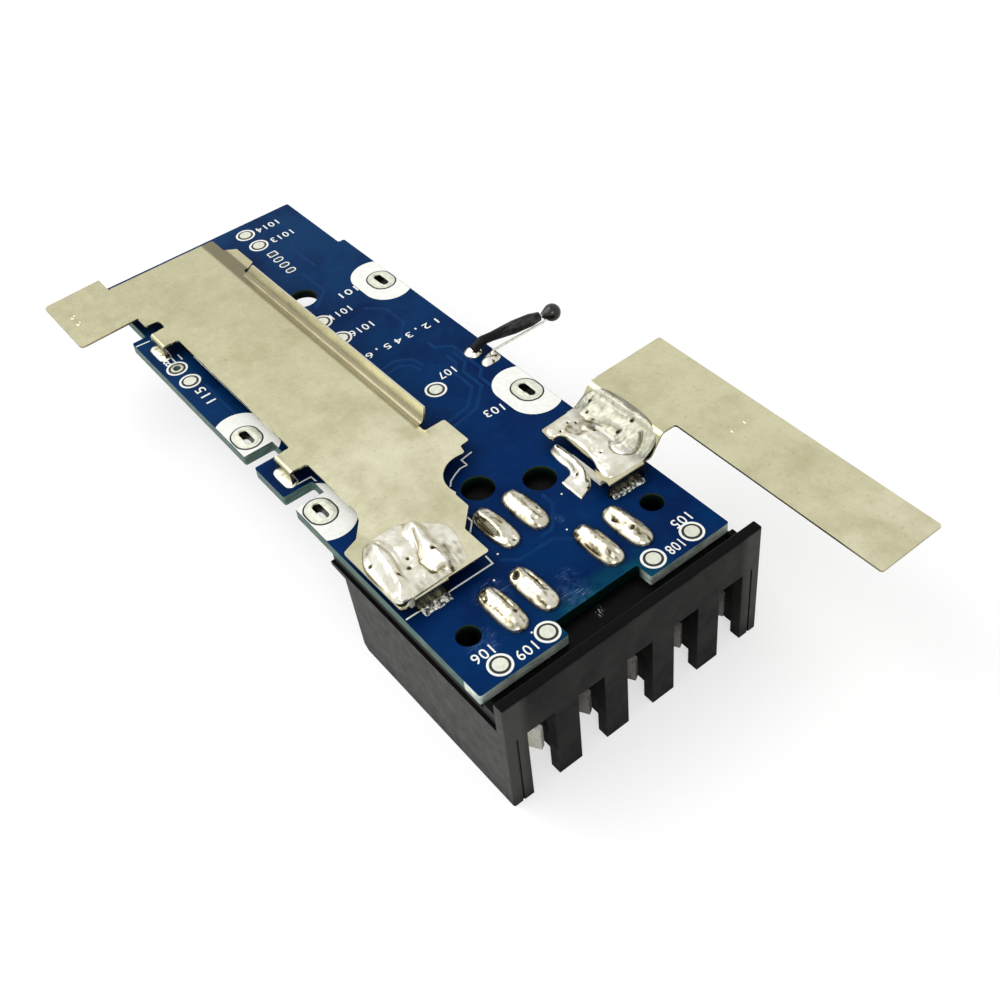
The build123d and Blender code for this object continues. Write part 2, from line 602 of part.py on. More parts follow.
NODES = {
    "circuit_board": circuit_board,
    "terminal_housing": terminal_housing,
    "left_power_contact": lambda: contact(0),
    "left_signal_contact": lambda: contact(1),
    "middle_signal_contact": lambda: contact(2),
    "right_signal_contact": lambda: contact(3),
    "right_power_contact": lambda: contact(4),
    "bus_plate": bus_plate,
    "side_strip": side_strip,
    "contact_solder_joints": contact_solder_joints,
    "bus_plate_solder": bus_plate_solder,
    "side_strip_solder": side_strip_solder,
    "side_pad_solder": side_pad_solder,
    "leg_solder_fillets": leg_solder_fillets,
    "test_pads": test_pads,
    "jumper_pads": jumper_pads,
    "tap_eyelets": tap_eyelets,
    "thermistor_bead": thermistor_bead,
    "thermistor_sleeve": thermistor_sleeve,
    "thermistor_wires": thermistor_wires,
    "thermistor_solder": thermistor_solder,
    "transistor_bodies": transistor_bodies,
    "transistor_tabs": transistor_tabs,
    "transistor_leads": transistor_leads,
    "controller_body": lambda: chip_body(CONTROLLER, CONTROLLER_BODY),
    "controller_leads": lambda: gull_leads(CONTROLLER, CONTROLLER_BODY, 10, 0.65, 1.05, 0.25),
    "monitor_body": lambda: chip_body(MONITOR, MONITOR_BODY),
    "monitor_leads": lambda: gull_leads(MONITOR, MONITOR_BODY, 4, 1.27, 0.95, 0.4),
    "shunt_resistor": lambda: middles((SHUNT,), SHUNT_SIZE, SHUNT_CAP),
    "shunt_terminals": lambda: end_caps((SHUNT,), SHUNT_SIZE, SHUNT_CAP),
    "capacitor_bodies": lambda: middles(CAPACITORS, CAPACITOR_SIZE, CAPACITOR_CAP),
    "capacitor_ends": lambda: end_caps(CAPACITORS, CAPACITOR_SIZE, CAPACITOR_CAP),
    "resistor_bodies": lambda: middles(RESISTORS, RESISTOR_SIZE, RESISTOR_CAP),
    "resistor_ends": lambda: end_caps(RESISTORS, RESISTOR_SIZE, RESISTOR_CAP),
    "diode_bodies": lambda: middles(DIODES, DIODE_BODY, 0),
    "diode_ends": lambda: end_caps(DIODES, DIODE_ENDS, (DIODE_ENDS[0] - DIODE_BODY[0]) / 2),
}


def placed(made):
    """All solids of a node, moved so that the origin lies between the screw holes."""
    shapes = made if isinstance(made, list) else [made]
    shift = Pos(-ORIGIN_X, -ORIGIN_Y, 0)
    solids = [shift * solid for shape in shapes for solid in shape.solids()]
    return solids[0] if len(solids) == 1 else Compound(solids)


os.makedirs("parts", exist_ok=True)
for name, build in NODES.items():
    export_step(placed(build()), "parts/" + name + ".step")
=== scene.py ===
import json
import math

import bmesh
import bpy
import numpy as np
from mathutils import Matrix, Vector, geometry, noise
from mathutils.bvhtree import BVHTree

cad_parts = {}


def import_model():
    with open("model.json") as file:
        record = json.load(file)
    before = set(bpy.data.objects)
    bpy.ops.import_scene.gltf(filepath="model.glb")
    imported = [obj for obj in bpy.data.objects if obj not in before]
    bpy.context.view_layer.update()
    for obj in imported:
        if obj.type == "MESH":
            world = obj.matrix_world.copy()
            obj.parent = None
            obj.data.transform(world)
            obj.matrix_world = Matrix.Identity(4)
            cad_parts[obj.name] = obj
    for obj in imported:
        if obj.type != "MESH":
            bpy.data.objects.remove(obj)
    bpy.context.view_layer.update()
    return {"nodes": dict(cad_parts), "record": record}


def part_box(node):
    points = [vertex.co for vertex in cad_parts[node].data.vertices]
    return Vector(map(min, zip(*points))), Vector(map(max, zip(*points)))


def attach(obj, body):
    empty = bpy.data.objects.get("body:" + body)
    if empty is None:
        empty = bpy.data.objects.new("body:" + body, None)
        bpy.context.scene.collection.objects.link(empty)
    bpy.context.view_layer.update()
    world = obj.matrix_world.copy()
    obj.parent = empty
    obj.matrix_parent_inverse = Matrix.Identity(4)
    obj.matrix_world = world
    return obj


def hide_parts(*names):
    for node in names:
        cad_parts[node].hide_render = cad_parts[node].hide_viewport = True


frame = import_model()
nodes = frame["nodes"]

# Places are in millimetres: x and y from the middle of the board's terminal edge, z from its face.
ORIGIN_X, ORIGIN_Y = -0.1, 8.55
BOARD_HALF = 20.0
# The two notches in the board's left side: low and high y, and the x of their inner ends.
NOTCHES = ((40.4, 43.3), (51.1, 54.0))
NOTCH_INNER = -15.4
# Middles of the screw and peg holes, and of the plated slots.
HOLES = ((-15.6, 7.9), (15.4, 9.2), (0.4, 26.7), (7.6, 22.5), (6.0, 79.9))
EYELETS = ((-17.65, 57.3), (-17.65, 37.6), (17.85, 74.9), (17.75, 37.6))
# The upper face of the nickel sheets.
SHEET_TOP = 2.5
FLOOR_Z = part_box("terminal_housing")[0].z


def at(x, y, z=0.0):
    return Vector(((x - ORIGIN_X) / 1000, (y - ORIGIN_Y) / 1000, z / 1000))


# ---- materials ----

def rgb(red, green, blue):
    """Linear colour from 0-255 display values."""
    out = []
    for value in (red, green, blue):
        value = value / 255
        out.append(value / 12.92 if value <= 0.04045 else ((value + 0.055) / 1.055) ** 2.4)
    return (*out, 1.0)


class Nodes:
    def __init__(self, tree):
        self.tree = tree

    def node(self, kind, inputs=None, **settings):
        """A new node. Each input is a plain value, or a socket that it is linked to."""
        made = self.tree.nodes.new(kind)
        for key, value in settings.items():
            setattr(made, key, value)
        for key, value in (inputs or {}).items():
            if isinstance(value, (int, float, tuple)):
                made.inputs[key].default_value = value
            else:
                self.tree.links.new(value, made.inputs[key])
        return made

    def span(self, source, low, high, out_low, out_high):
        """The source from low to high, spread from out_low to out_high and held beyond them."""
        inputs = {"Value": source, "From Min": low, "From Max": high, "To Min": out_low, "To Max": out_high}
        return self.node("ShaderNodeMapRange", inputs).outputs["Result"]

    def math(self, operation, one, two):
        return self.node("ShaderNodeMath", {0: one, 1: two}, operation=operation).outputs[0]


class Look(Nodes):
    """A principled material with the few nodes it needs.

    Distances are in millimetres of the shared frame, and only near() takes a place on the board.
    """

    def __init__(self, name, colour, roughness, metallic=0.0, **more):
        self.material = bpy.data.materials.new(name)
        self.material.use_nodes = True
        super().__init__(self.material.node_tree)
        self.shader = self.tree.nodes["Principled BSDF"]
        self.shader.inputs["Base Color"].default_value = colour
        self.shader.inputs["Roughness"].default_value = roughness
        self.shader.inputs["Metallic"].default_value = metallic
        for key, value in more.items():
            self.shader.inputs[key.replace("_", " ")].default_value = value
        place = self.node("ShaderNodeTexCoord").outputs["Object"]
        self.mm = self.node("ShaderNodeVectorMath", {0: place, "Scale": 1000}, operation="SCALE").outputs[0]

    def to(self, source, socket):
        self.tree.links.new(source, self.shader.inputs[socket])

    def stretch(self, x, y, z, turn=0.0):
        inputs = {"Vector": self.mm, "Scale": (x, y, z), "Rotation": (0, 0, turn)}
        return self.node("ShaderNodeMapping", inputs).outputs[0]

    def noise(self, scale, detail=4.0, rough=0.55, vector=None):
        inputs = {"Vector": vector or self.mm, "Scale": scale, "Detail": detail, "Roughness": rough}
        return self.node("ShaderNodeTexNoise", inputs).outputs["Fac"]

    def cloud(self, scale, low, high, amount, detail=4.0, rough=0.55, vector=None):
        """A patchy mask, from 0 to the amount as the noise goes from low to high."""
        return self.span(self.noise(scale, detail, rough, vector), low, high, 0, amount)

    def cells(self, scale):
        return self.node("ShaderNodeTexVoronoi", {"Vector": self.mm, "Scale": scale}).outputs["Distance"]

    def ramp(self, source, *stops):
        made = self.node("ShaderNodeValToRGB", {"Fac": source})
        bar = made.color_ramp.elements
        while len(bar) < len(stops):
            bar.new(0.5)
        for spot, (place, value) in zip(bar, stops):
            spot.position = place
            spot.color = value if isinstance(value, tuple) else (value, value, value, 1)
        return made.outputs["Color"]

    def mix(self, factor, one, two, blend="MIX"):
        inputs = {0: factor, 6: one, 7: two}
        return self.node("ShaderNodeMix", inputs, data_type="RGBA", blend_type=blend).outputs[2]

    def over(self, base, colour, *masks):
        """A colour laid over the base where every mask is. A mask may be a plain number."""
        return self.mix(self.all_of(*masks), base, colour)

    def vary_roughness(self, scale, detail, low, high):
        self.to(self.span(self.noise(scale, detail), 0.3, 0.7, low, high), "Roughness")

    def bump(self, *layers):
        """Layers of (height, distance in mm), laid over one another."""
        under = {}
        for height, distance in layers:
            inputs = {"Strength": 1.0, "Distance": distance / 1000, "Height": height, **under}
            under = {"Normal": self.node("ShaderNodeBump", inputs).outputs[0]}
        self.to(under["Normal"], "Normal")

    def xyz(self, vector=None):
        made = self.node("ShaderNodeSeparateXYZ", {0: vector or self.mm})
        return [made.outputs[name] for name in "XYZ"]

    def near(self, x, y, radius, soften=0.3):
        """1 within the radius of a place on the board as seen from above, and 0 outside."""
        flat = self.node("ShaderNodeVectorMath", {0: self.mm, 1: (1, 1, 0)}, operation="MULTIPLY")
        ends = {0: flat.outputs[0], 1: (x - ORIGIN_X, y - ORIGIN_Y, 0)}
        away = self.node("ShaderNodeVectorMath", ends, operation="DISTANCE").outputs["Value"]
        return self.span(away, radius, radius + soften, 1.0, 0.0)

    def crevice_shade(self, reach):
        """How much nearby solids close the surface in, from 0 in the open to 1; it masks painted shade."""
        made = self.node("ShaderNodeAmbientOcclusion", {"Distance": reach / 1000}, samples=8)
        return self.span(made.outputs["AO"], 0.3, 0.95, 1.0, 0.0)

    def joined(self, operation, masks):
        found = masks[0]
        for mask in masks[1:]:
            found = self.math(operation, found, mask)
        return found

    def all_of(self, *masks):
        return self.joined("MULTIPLY", masks)

    def any_of(self, *masks):
        return self.joined("MAXIMUM", masks)

    def upright(self):
        """How squarely the surface faces up or down, from 0 to 1."""
        normal = self.node("ShaderNodeNewGeometry").outputs["Normal"]
        return self.math("ABSOLUTE", self.xyz(normal)[2], 0.0)


def blue_board():
    look = Look("blue_board", rgb(2, 42, 88), 0.35, Specular_IOR_Level=0.035)
    x, y, z = look.xyz()
    # The lacquer, with clouds, wear and pale specks.
    lacquer = look.ramp(look.span(y, -8, 97, 0.0, 1.0), (0.0, rgb(0, 44, 94)), (0.25, rgb(0, 40, 92)),
                        (0.55, rgb(0, 46, 92)), (1.0, rgb(10, 54, 96)))
    lacquer = look.over(lacquer, rgb(0, 20, 66), look.cloud(0.09, 0.42, 0.64, 0.6, 3))
    lacquer = look.over(lacquer, rgb(6, 62, 116), look.cloud(0.3, 0.52, 0.75, 0.3, 5, 0.6))
    lacquer = look.over(lacquer, rgb(60, 104, 156), look.cloud(2.6, 0.70, 0.82, 0.4, 2, 0.5))
    # A greenish stain behind the recess in the front edge.
    stain_and_shade = look.span(look.noise(0.6, 3), 0.3, 0.6, 0.2, 0.7)
    lacquer = look.over(lacquer, rgb(8, 84, 92), look.span(y, -6.4, -2.6, 1, 0),
                        look.near(1.0, 0.0, 6, 4), stain_and_shade)
    # Dried flux smeared among the contacts' joints.
    smears = ((-2.2, 4.2, 0.6, 2.2), (-0.9, 7.0, 0.3, 1.4), (4.4, 15.2, 0.3, 0.9),
              (-15.0, 6.0, 0.5, 2.0), (-9.5, 11.0, 0.3, 2.5))
    flux = look.any_of(*[look.near(*smear) for smear in smears])
    lacquer = look.over(lacquer, rgb(70, 104, 156), flux, look.cloud(1.1, 0.4, 0.75, 0.5, 2))
    streaks = look.cloud(1.0, 0.58, 0.7, 0.8, 3, 0.7, look.stretch(0.5, 4.0, 1, 0.7))
    lacquer = look.over(lacquer, rgb(150, 168, 196), flux, streaks)
    # Painted shade where nearby solids close the board in, as under the sheets' edges.
    lacquer = look.over(lacquer, rgb(0, 3, 12), look.crevice_shade(3.0), 0.92)
    # The cut edges show layers of glass. Painted light makes the front edge pale; painted shade darkens the
    # middle of the recess edge and the bores.
    layers = look.noise(1.0, 3, 0.6, look.stretch(0.5, 0.5, 6))
    edge = look.ramp(layers, (0.3, rgb(66, 84, 76)), (0.55, rgb(98, 118, 108)),
                     (0.8, rgb(138, 156, 142)))
    pale = look.ramp(layers, (0.3, rgb(160, 180, 166)), (0.5, rgb(220, 232, 218)),
                     (0.7, rgb(250, 254, 246)))
    recess_shade = look.ramp(layers, (0.35, rgb(0, 14, 10)), (0.6, rgb(4, 34, 30)), (0.8, rgb(40, 80, 66)))
    front = look.span(y, -5.6, -5.4, 1, 0)
    edge = look.over(edge, pale, front)
    edge = look.over(edge, rgb(74, 118, 112), look.cloud(0.35, 0.45, 0.65, 0.5, 3))
    middle = look.span(look.math("ABSOLUTE", x, 0.0), 6.75, 6.95, 1, 0)
    edge = look.over(edge, recess_shade, middle, look.span(y, -7.6, -6.4, 0, 1), front)
    # Painted shade: the bore walls are darker the deeper they go.
    bores = look.any_of(*[look.near(*hole, 3.0, 0.4) for hole in HOLES])
    bore_shade = look.ramp(look.span(z, -1.3, 0.0, 0, 1), (0.0, rgb(6, 14, 12)), (0.6, rgb(14, 30, 24)),
                     (1.0, rgb(62, 78, 58)))
    edge = look.over(edge, bore_shade, bores)
    look.to(look.over(lacquer, edge, look.span(look.upright(), 0.35, 0.6, 1, 0)), "Base Color")
    look.vary_roughness(0.8, 4, 0.25, 0.45)
    look.bump((look.noise(0.35, 2), 0.08), (look.noise(6, 3), 0.006))
    return look.material


def traces():
    look = Look("board_traces", rgb(4, 56, 106), 0.35, Specular_IOR_Level=0.05)
    look.to(look.over(rgb(1, 46, 96), rgb(4, 55, 104), look.cloud(0.4, 0.35, 0.7, 1, 3)), "Base Color")
    look.bump((look.noise(5, 2), 0.01))
    return look.material


def white_print():
    look = Look("white_print", rgb(240, 241, 234), 0.5, Specular_IOR_Level=0.2)
    worn = look.cloud(1.2, 0.45, 0.7, 1, 5, 0.65)
    look.to(look.over(rgb(252, 253, 248), rgb(240, 243, 232), worn), "Base Color")
    look.vary_roughness(3, 2, 0.4, 0.6)
    look.bump((look.noise(4, 3), 0.01))
    return look.material


def black_housing():
    look = Look("black_housing", rgb(24, 24, 23), 0.42, Specular_IOR_Level=0.07)
    x = look.xyz()[0]
    body = look.over(rgb(20, 20, 20), rgb(36, 36, 34), look.cloud(0.25, 0.35, 0.7, 1))
    scuffs = look.cloud(1.0, 0.68, 0.82, 0.5, 5, 0.7, look.stretch(0.25, 2.2, 0.4, 0.35))
    body = look.over(body, rgb(74, 74, 70), scuffs)
    # Painted light: the housing's two ends are painted lighter.
    ends = look.any_of(look.span(x, -18.2, -16.8, 1, 0), look.span(x, 17.0, 18.5, 0, 1))
    body = look.over(body, rgb(66, 66, 64), ends, 0.8)
    # Painted shade: faces that look up or down are painted near black.
    body = look.over(body, rgb(3, 3, 3), look.span(look.upright(), 0.5, 0.85, 0, 1))
    # White nicks where the board's recess shows the roof.
    nicks = look.cloud(1.0, 0.58, 0.64, 0.8, 3, 0.7, look.stretch(3.0, 0.9, 1, 0.4))
    body = look.over(body, rgb(190, 190, 186), look.near(-0.7, 1.3, 0.3, 0.9), nicks)
    # Painted shade where nearby solids close the housing in.
    look.to(look.over(body, rgb(1, 1, 1), look.crevice_shade(5.0)), "Base Color")
    look.vary_roughness(0.7, 4, 0.32, 0.5)
    look.bump((look.noise(0.12, 2), 0.2), (look.noise(9, 2), 0.008))
    return look.material


def nickel():
    look = Look("nickel_sheet", rgb(204, 199, 165), 0.3, 1.0)
    x, y, z = look.xyz()
    # Painted reflection: the sheets are darker towards the back.
    tone = look.ramp(look.span(y, -8, 97, 0, 1), (0.0, rgb(208, 203, 169)), (0.3, rgb(206, 201, 167)),
                     (1.0, rgb(194, 189, 154)))
    # Painted reflection: paler on the plate's front half and on the strip's arm, and darker along the left
    # side.
    tone = look.over(tone, rgb(217, 213, 183), look.span(x, 9, 10, 1, 0), look.span(y, 30, 50, 1, 0))
    tone = look.over(tone, rgb(217, 212, 181), look.span(y, -14, -26, 0, 0.8))
    tone = look.over(tone, rgb(184, 180, 148), look.span(x, -17.5, -16.5, 0.6, 0))
    # Clouds, hairlines and specks.
    tone = look.over(tone, rgb(182, 176, 140), look.cloud(0.16, 0.4, 0.66, 0.7, 4, 0.6))
    tone = look.over(tone, rgb(220, 216, 188),
                     look.cloud(0.8, 0.5, 0.78, 0.4, 6, 0.7, look.stretch(1, 0.6, 1, 0.5)))
    tone = look.over(tone, rgb(146, 140, 102), look.cloud(1.7, 0.56, 0.8, 0.6, 5, 0.75))
    tone = look.over(tone, rgb(236, 232, 208),
                     look.cloud(1.0, 0.72, 0.8, 0.3, 2, 0.5, look.stretch(0.4, 6.0, 1, 1.1)))
    tone = look.over(tone, rgb(110, 104, 76), look.ramp(look.cells(0.55), (0.0, 1.0), (0.07, 0.0)), 0.4)
    # The front legs are painted dark below their bend, as painted shade and dark reflection over a burnt
    # tint.
    legs = look.all_of(look.span(z, 1.9, 2.3, 1, 0), look.near(0, 14.1, 19, 0.1),
                       look.span(y, 6.9, 7.0, 1, 0), look.span(y, 4.0, 4.1, 0, 1))
    burnt_and_shaded = look.ramp(look.noise(1.1, 4, 0.6), (0.35, rgb(34, 37, 44)), (0.6, rgb(66, 70, 78)),
                      (0.75, rgb(130, 126, 104)))
    tone = look.over(tone, burnt_and_shaded, legs)
    # Steep faces are painted darker as painted shade, apart from the plate's upright flange, which is
    # painted greyer against its reflection of the plate; painted shade darkens the fold at its foot.
    beside = look.all_of(look.span(y, 30.8, 31.2, 0, 1), look.span(x, 2.3, 2.6, 1, 0))
    flange = look.all_of(beside, look.span(z, 2.7, 3.1, 0, 1), look.span(x, 0.6, 1.0, 0, 1))
    fold = look.all_of(beside, look.span(z, 2.4, 2.5, 0, 1), look.span(z, 2.7, 3.1, 1, 0),
                       look.span(x, -0.3, 0.15, 0, 1))
    steep_shade = look.span(look.upright(), 0.1, 0.7, 0.55, 0)
    tone = look.over(tone, rgb(120, 112, 84), steep_shade, look.math("SUBTRACT", 1.0, flange))
    tone = look.over(tone, rgb(200, 199, 184), flange, 0.8)
    tone = look.over(tone, rgb(112, 104, 80), fold, 0.85)
    look.to(tone, "Base Color")
    look.to(look.span(look.noise(0.5, 5, 0.6), 0.3, 0.75, 0.2, 0.34), "Roughness")
    lines = look.noise(1.0, 3, 0.5, look.stretch(5, 0.35, 1))
    look.bump((look.noise(0.1, 2), 0.25), (lines, 0.004), (look.noise(2.2, 3), 0.008))
    return look.material


def solder():
    """Bright solder. The stain_and_shade attribute of a sculpted piece marks its brown places and its
    painted shade: dark rims, creases, pits and right flanks.
    """
    look = Look("solder", rgb(200, 197, 178), 0.16, 1.0)
    x, y, z = look.xyz()
    stain_and_shade = look.node("ShaderNodeAttribute", attribute_name="stain_and_shade").outputs["Fac"]
    tone = look.over(rgb(238, 236, 224), rgb(208, 204, 184), look.cloud(0.6, 0.35, 0.65, 1, 3, 0.5))
    tone = look.over(tone, rgb(122, 110, 72), look.span(stain_and_shade, 0.08, 0.6, 0, 0.8))
    tone = look.over(tone, rgb(40, 34, 18), look.span(stain_and_shade, 0.55, 0.95, 0, 0.95))
    # Painted shade: greyer where the strip's solder climbs to the outer step.
    climb_shade = look.all_of(look.span(x, 16.6, 18.2, 0, 1), look.span(y, 4, 5, 0, 1),
                        look.span(z, 2.6, 2.9, 0, 1), 0.9)
    look.to(look.mix(climb_shade, tone, rgb(146, 147, 142), "MULTIPLY"), "Base Color")
    look.vary_roughness(0.8, 4, 0.2, 0.34)
    look.bump((look.noise(0.9, 2, 0.5), 0.06), (look.noise(3.5, 2), 0.012))
    return look.material


def rough_solder():
    look = Look("rough_solder", rgb(200, 200, 190), 0.3, 1.0)
    crust = look.noise(1.7, 4, 0.7, look.stretch(1.6, 0.8, 1))
    look.to(look.ramp(crust, (0.36, rgb(34, 46, 66)), (0.47, rgb(96, 100, 100)),
                      (0.56, rgb(236, 236, 226))), "Base Color")
    look.bump((crust, 0.3))
    return look.material


def tinned(name, colour, dark):
    look = Look(name, colour, 0.34, 1.0)
    look.to(look.over(colour, dark, look.cloud(1.4, 0.45, 0.75, 1)), "Base Color")
    look.vary_roughness(2.0, 3, 0.26, 0.45)
    look.bump((look.noise(1.6, 3), 0.03))
    return look.material


def slot_rims():
    """Bright rolled rims, with the plating painted dark down the slot as painted shade."""
    look = Look("slot_rims", rgb(228, 229, 215), 0.34, 0.9)
    rim = look.over(rgb(234, 235, 222), rgb(210, 209, 192), look.cloud(1.4, 0.45, 0.75, 1))
    ragged = look.span(look.noise(1.6, 3), 0.3, 0.7, -0.05, 0.05)
    depth = look.math("ADD", look.xyz()[2], ragged)
    look.to(look.over(rim, rgb(16, 16, 12), look.span(depth, -0.1, 0.1, 1, 0)), "Base Color")
    look.vary_roughness(2.0, 3, 0.26, 0.45)
    look.bump((look.noise(1.6, 3), 0.04))
    return look.material


def contact_metal():
    """Bright metal. The noses of contacts two to five stand in shade."""
    look = Look("contact_metal", rgb(240, 238, 228), 0.3, 0.2)
    x, y, _ = look.xyz()
    body = look.over(rgb(252, 250, 240), rgb(240, 236, 220), look.cloud(0.5, 0.4, 0.7, 1))
    noses = look.all_of(look.span(x, -12, -11, 0, 1), look.span(y, -9.5, -8.0, 1, 0))
    shade = look.over(rgb(140, 134, 128), rgb(100, 97, 94), look.cloud(0.4, 0.4, 0.6, 1, 3))
    look.to(look.over(body, shade, noses), "Base Color")
    look.vary_roughness(1.5, 3, 0.22, 0.42)
    look.bump((look.noise(0.8, 2), 0.02))
    return look.material


def mottled(name, low, high, roughness, relief):
    """A plain finish with faint clouds and a fine bump."""
    look = Look(name, low, roughness)
    look.to(look.over(low, high, look.cloud(0.9, 0.4, 0.7, 1)), "Base Color")
    look.vary_roughness(2.0, 3, roughness * 0.8, roughness * 1.3)
    look.bump((look.noise(5, 3), relief))
    return look.material


def black_sleeve():
    """Soft black tube, with grey patches of painted sheen at its outer end."""
    look = Look("black_sleeve", rgb(20, 20, 20), 0.4, Specular_IOR_Level=0.16)
    patches = look.cloud(1.0, 0.42, 0.62, 1, 4, 0.6, look.stretch(0.35, 1.2, 1.2))
    outer = look.span(look.xyz()[0], 20.0, 23.5, 0, 1)
    look.to(look.over(rgb(3, 3, 3), rgb(62, 62, 64), patches, outer), "Base Color")
    look.vary_roughness(2.0, 3, 0.3, 0.5)
    look.bump((look.noise(1.0, 3, 0.5, look.stretch(0.4, 2, 2)), 0.15), (look.noise(5, 3), 0.03))
    return look.material


MATERIALS = {
    "blue_board": blue_board(),
    "black_housing": black_housing(),
    "contact_metal": contact_metal(),
    "nickel_sheet": nickel(),
    "solder": solder(),
    "tinned_pads": tinned("tinned_pads", rgb(224, 226, 211), rgb(208, 208, 190)),
    "tinned_wire": tinned("tinned_wire", rgb(236, 234, 222), rgb(190, 186, 170)),
    "black_glaze": mottled("black_glaze", rgb(7, 6, 5), rgb(22, 17, 12), 0.1, 0.01),
    "black_sleeve": black_sleeve(),
    "chip_plastic": mottled("chip_plastic", rgb(24, 24, 25), rgb(38, 38, 38), 0.5, 0.008),
    "tan_ceramic": mottled("tan_ceramic", rgb(168, 140, 104), rgb(190, 162, 126), 0.45, 0.006),
}
SLOT_OF = {entry["node"]: entry["material_slot"] for entry in frame["record"]["subparts"]}


def finish_piece(piece, slot, material=None):
    piece.data.materials.clear()
    piece.data.materials.append(material or MATERIALS[slot])
    if piece.name not in nodes:
        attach(piece, "root")


def new_piece(name, mesh):
    piece = bpy.data.objects.new(name, mesh)
    bpy.context.scene.collection.objects.link(piece)
    return piece


def loops_mesh(name, build):
    mesh = bpy.data.meshes.new(name)
    bm = bmesh.new()
    build(bm)
    bmesh.ops.recalc_face_normals(bm, faces=bm.faces)
    bm.to_mesh(mesh)
    bm.free()
    return new_piece(name, mesh)


# ---- print and traces on the board ----

# How far the print's underside and its top lie over the board, and how far it keeps from edges.
PRINT_BASE, PRINT_HEIGHT = 0.004, 0.03
PRINT_MARGIN = 0.05
PRINT_LINE_WIDTH = 0.22
GAP_HEIGHTS = (0.003, 0.012)
TRACE_WIDTH, TRACE_HEIGHT, TRACE_SHOULDER = 0.55, 0.02, 0.12


def band(bm, outer, inner, low, high):
    """Flat band between two loops of as many points each, with its side walls."""
    rows = []
    for loop, z in ((outer, low), (outer, high), (inner, high), (inner, low)):
        rows.append([bm.verts.new(at(x, y, z)) for x, y in loop])
    count = len(outer)
    for row, nxt in zip(rows, rows[1:]):
        for n in range(count):
            bm.faces.new((row[n], row[(n + 1) % count], nxt[(n + 1) % count], nxt[n]))


def stadium(x, y, width, length, count=48):
    """Points of an upright oval with straight sides."""
    radius = width / 2
    straight = length / 2 - radius
    points = []
    for n in range(count):
        turn = 2 * math.pi * (n + 0.5) / count
        rise = straight if math.sin(turn) > 0 else -straight
        points.append((x + radius * math.cos(turn), y + rise + radius * math.sin(turn)))
    return points


def lying(x, y, width, length):
    """Points of the same oval, lying across the board."""
    return [(x + b, y + a) for a, b in stadium(0, 0, width, length)]


def ring(bm, place, outer, inner, low, high, count=48):
    """A band between two ovals round a place, each given by its width and length."""
    band(bm, stadium(*place, *outer, count), stadium(*place, *inner, count), low, high)


def stroke(bm, points, width, low, high, shoulder=0.0):
    """A raised line of even width along the points, its top narrower by the shoulder."""
    left, right = [], []
    for n, point in enumerate(points):
        here = Vector(point)
        before = (here - Vector(points[n - 1])).normalized() if n else None
        after = (Vector(points[n + 1]) - here).normalized() if n + 1 < len(points) else None
        way = ((before or after) + (after or before)).normalized()
        side = Vector((-way.y, way.x))
        reach = width / 2 / max(0.5, way.dot(after or before))
        left.append((here + side * reach, here + side * (reach - shoulder)))
        right.append((here - side * reach, here - side * (reach - shoulder)))
    rows = []
    for pair, index, z in ((left, 0, low), (left, 1, high), (right, 1, high), (right, 0, low)):
        rows.append([bm.verts.new(at(*step[index], z)) for step in pair])
    for row, nxt in zip(rows, rows[1:]):
        for n in range(len(points) - 1):
            bm.faces.new((row[n], row[n + 1], nxt[n + 1], nxt[n]))
    for n in (0, -1):
        bm.faces.new([row[n] for row in rows])


PADS = ((8.4, 102.6), (8.5, 98.2), (4.85, 72.4), (4.85, 66.8), (8.2, 46.8), (15.5, 2.05), (8.84, 2.0),
        (-8.24, 2.0), (-15.44, 2.0), (-17.6, 74.4), (-17.66, 78.5))
JUMPERS = ((8.87, 94.24), (8.77, 92.18), (8.71, 90.12), (8.68, 88.05))
PRINT_LINES = (((-19.8, 14.9), (-6.4, 14.9), (-6.3, 16.5)),
               ((4.0, 32.8), (2.0, 32.5), (2.0, 31.2)),
               ((2.0, 31.2), (0.9, 31.3), (-0.4, 30.8), (-1.5, 30.2), (-2.2, 29.4)),
               ((-3.9, 23.4), (-3.9, 22.5), (-4.2, 22.1), (-5.3, 21.0)),
               ((-19.9, 88.0), (-17.6, 87.8)), ((-14.3, 79.3), (-14.2, 62.6)),
               ((-18.1, 44.2), (-15.1, 44.1), (-15.0, 42.9)))
PRINT_DOTS = ((7.8, 18.25), (4.16, 12.97), (-4.96, 15.7), (-8.0, 12.6), (-9.7, 3.2))
TRACES = (((14.0, 52.0), (14.0, 49.5), (12.4, 47.8), (12.4, 43.6), (9.4, 40.6), (3.4, 39.6)),
          ((15.2, 52.0), (15.2, 48.9), (13.6, 47.2), (13.6, 42.8), (9.9, 39.4), (3.4, 38.2)),
          ((13.8, 56.5), (13.8, 54.8), (16.0, 53.2), (16.0, 46.0), (14.6, 44.6), (14.6, 36.0)),
          ((3.2, 54.5), (4.5, 56.0), (7.4, 56.4), (9.6, 55.0), (10.2, 52.6)),
          ((3.2, 52.9), (4.9, 54.6), (7.2, 54.9), (8.7, 53.9), (9.2, 52.0)),
          ((-5.4, 14.8), (-3.56, 13.06), (1.81, 12.96), (3.7, 11.24)),
          ((0.9, 14.3), (2.6, 14.3), (3.55, 15.0), (5.85, 17.74), (5.83, 20.0)),
          ((6.0, 76.0), (9.5, 79.0), (9.5, 86.0)),
          ((11.0, 60.0), (14.0, 63.0), (14.0, 68.0), (11.5, 70.6)),
          ((12.2, 86.0), (12.2, 93.5), (14.8, 96.0)), ((-16.2, 60.8), (-16.2, 72.0)))


